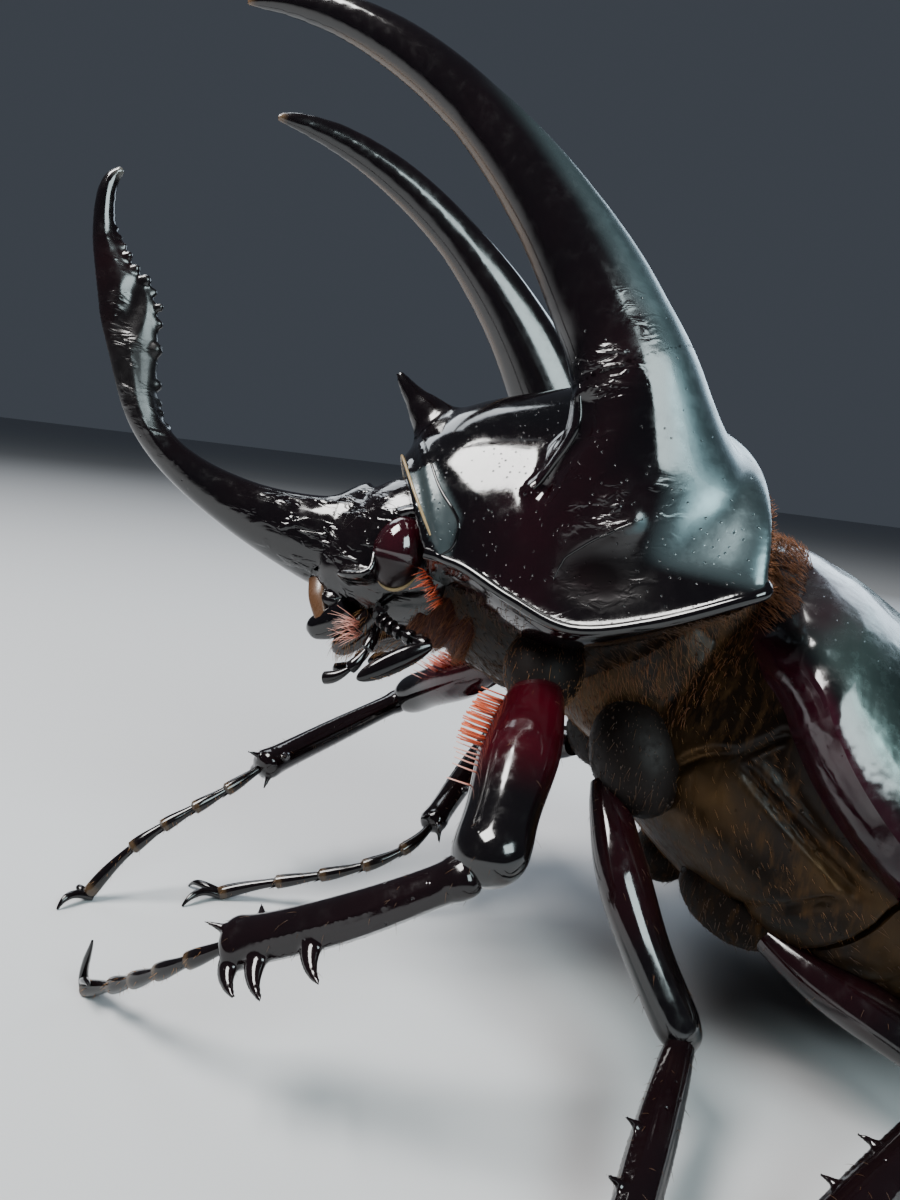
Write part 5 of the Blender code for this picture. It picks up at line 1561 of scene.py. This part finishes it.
def feeler_fringe(finishes, name, side):
    """Short golden hairs along the lower edge of the feeler's club."""
    def lower_edge(x, y, z):
        return step(-0.65 * (x - 20.4) - 0.76 * (z + 10.8), 0.45, 0.6) * step(np.abs(y), 8.9, 9.1)

    coat("feeler_fringe_" + name, finishes["gold"], "feeler_" + name, 130, 0.6, 0.028,
         world_way(FORE, (-0.35, 0.25 * side, -1.0)), 1.2, 0.1, 215 + side, lower_edge)


def leg_hairs(finishes, name, seed):
    pair = name.split("_")[0]
    down = np.array((0, 0, -1.0))
    coat("hip_hair_" + name, finishes["gold" if pair == "fore" else "brown"], "hip_" + name, 700, 0.7, 0.026,
         down, 0.6, 0.3, seed)
    coat("thigh_hair_" + name, finishes["brown"], "thigh_" + name, 50, 0.6, 0.018, down, 0.5, 0.2, seed + 3)
    coat("shin_hair_" + name, finishes["brown"], "shin_" + name, 70, 0.6, 0.020, down, 0.6, 0.15, seed + 6)
    coat("foot_hair_" + name, finishes["gold"], "foot_" + name, 110, 0.45, 0.022, down, 0.6, 0.1, seed + 9,
         lambda x, y, z: 1.0 * (z > 0.3))
    if pair == "fore":
        thigh_comb(finishes, name, seed + 12)


def thigh_comb(finishes, name, seed):
    """The comb on the front edge of the fore thigh: dense red bristles, then a few paler ones lower down."""
    points = SKINS["thigh_" + name][0]
    hip, knee = (np.array(p) + LEGS_PLACE for p in LEGS[name][:2])
    along = unit(knee - hip)
    front = unit(np.array((0, -1.0, 0.12)) - along * (np.array((0, -1.0, 0.12)) @ along))
    length = np.linalg.norm(knee - hip)
    draw = np.random.default_rng(seed)
    for label, finish, low, high, count, rows in (("red", "copper", 0.24, 0.50, 17, 3),
                                                  ("pale", "pink", 0.52, 0.68, 6, 1)):
        shares = np.repeat(np.linspace(low, high, count), rows) + draw.normal(0, 0.003, count * rows)
        roots, aims = [], []
        for share in shares:
            here = hip + along * (length * share)
            near = points[np.abs((points - here) @ along) < 0.5]
            reach = ((near - here) @ front).max() - 0.25
            roots.append(here + front * reach + np.cross(along, front) * draw.uniform(-0.55, 0.55))
            aims.append(front + along * draw.normal(0.0, 0.03) + draw.normal(0, 0.03, 3))
        grow_bristles("thigh_comb_" + label + "_" + name, finishes[finish], roots, aims,
                      draw.uniform(1.6, 1.95, len(roots)), 0.075, -along * 0.06, joints=3, tip=0.6)


# Stage

def make_floor():
    floor = bpy.data.meshes.new("floor")
    ring = [(math.cos(angle) * FLOOR_REACH, math.sin(angle) * FLOOR_REACH, 0.0)
            for angle in turn_angles(FLOOR_POINTS)]
    floor.from_pydata(ring, [], [tuple(range(FLOOR_POINTS))])
    paper, _, shader = new_finish("floor_paper")
    shader["Base Color"].default_value = FLOOR_COLOUR
    shader["Roughness"].default_value = FLOOR_ROUGHNESS
    floor.materials.append(paper)
    sheet = new_object("floor", floor)


def make_lights():
    """A dim sky and four lamps, which the camera doesn't see."""
    world = bpy.data.worlds.new("studio")
    bpy.context.scene.world = world
    world.use_nodes = True
    sky = world.node_tree.nodes["Background"].inputs
    sky["Color"].default_value, sky["Strength"].default_value = SKY_COLOUR, SKY_STRENGTH
    for label, place, aim, size, power, colour in LAMPS:
        lamp = bpy.data.lights.new(label, "AREA")
        lamp.shape = "RECTANGLE"
        lamp.size, lamp.size_y = size
        lamp.energy = power
        lamp.color = colour
        holder = new_object(label, lamp)
        holder.location = Vector(place)
        holder.rotation_mode = "QUATERNION"
        holder.rotation_quaternion = (Vector(aim) - Vector(place)).to_track_quat("-Z", "Y")
        holder.visible_camera = False


def make_camera():
    camera = bpy.data.cameras.new("camera")
    camera.lens = CAMERA_LENS
    camera.sensor_width = CAMERA_SENSOR
    camera.sensor_fit = "AUTO"
    camera.clip_start, camera.clip_end = CAMERA_REACH
    holder = new_object("camera", camera)
    turn = Matrix((CAMERA_RIGHT, CAMERA_UP, CAMERA_BACK)).transposed()
    holder.matrix_world = Matrix.Translation(Vector(CAMERA_PLACE) * MM) @ turn.to_4x4()
    bpy.context.scene.camera = holder


def main():
    make_camera()
    make_floor()
    make_lights()
    finishes = make_finishes()
    make_fore_shell(finishes)
    make_head(finishes)
    make_eyes(finishes)
    make_mouth(finishes)
    make_throat(finishes)
    make_wing_cases(finishes)
    make_trunk(finishes)
    make_scutellum(finishes)
    for name, joints in LEGS.items():
        make_leg(name, joints, finishes)
    make_hairs(finishes)


main()
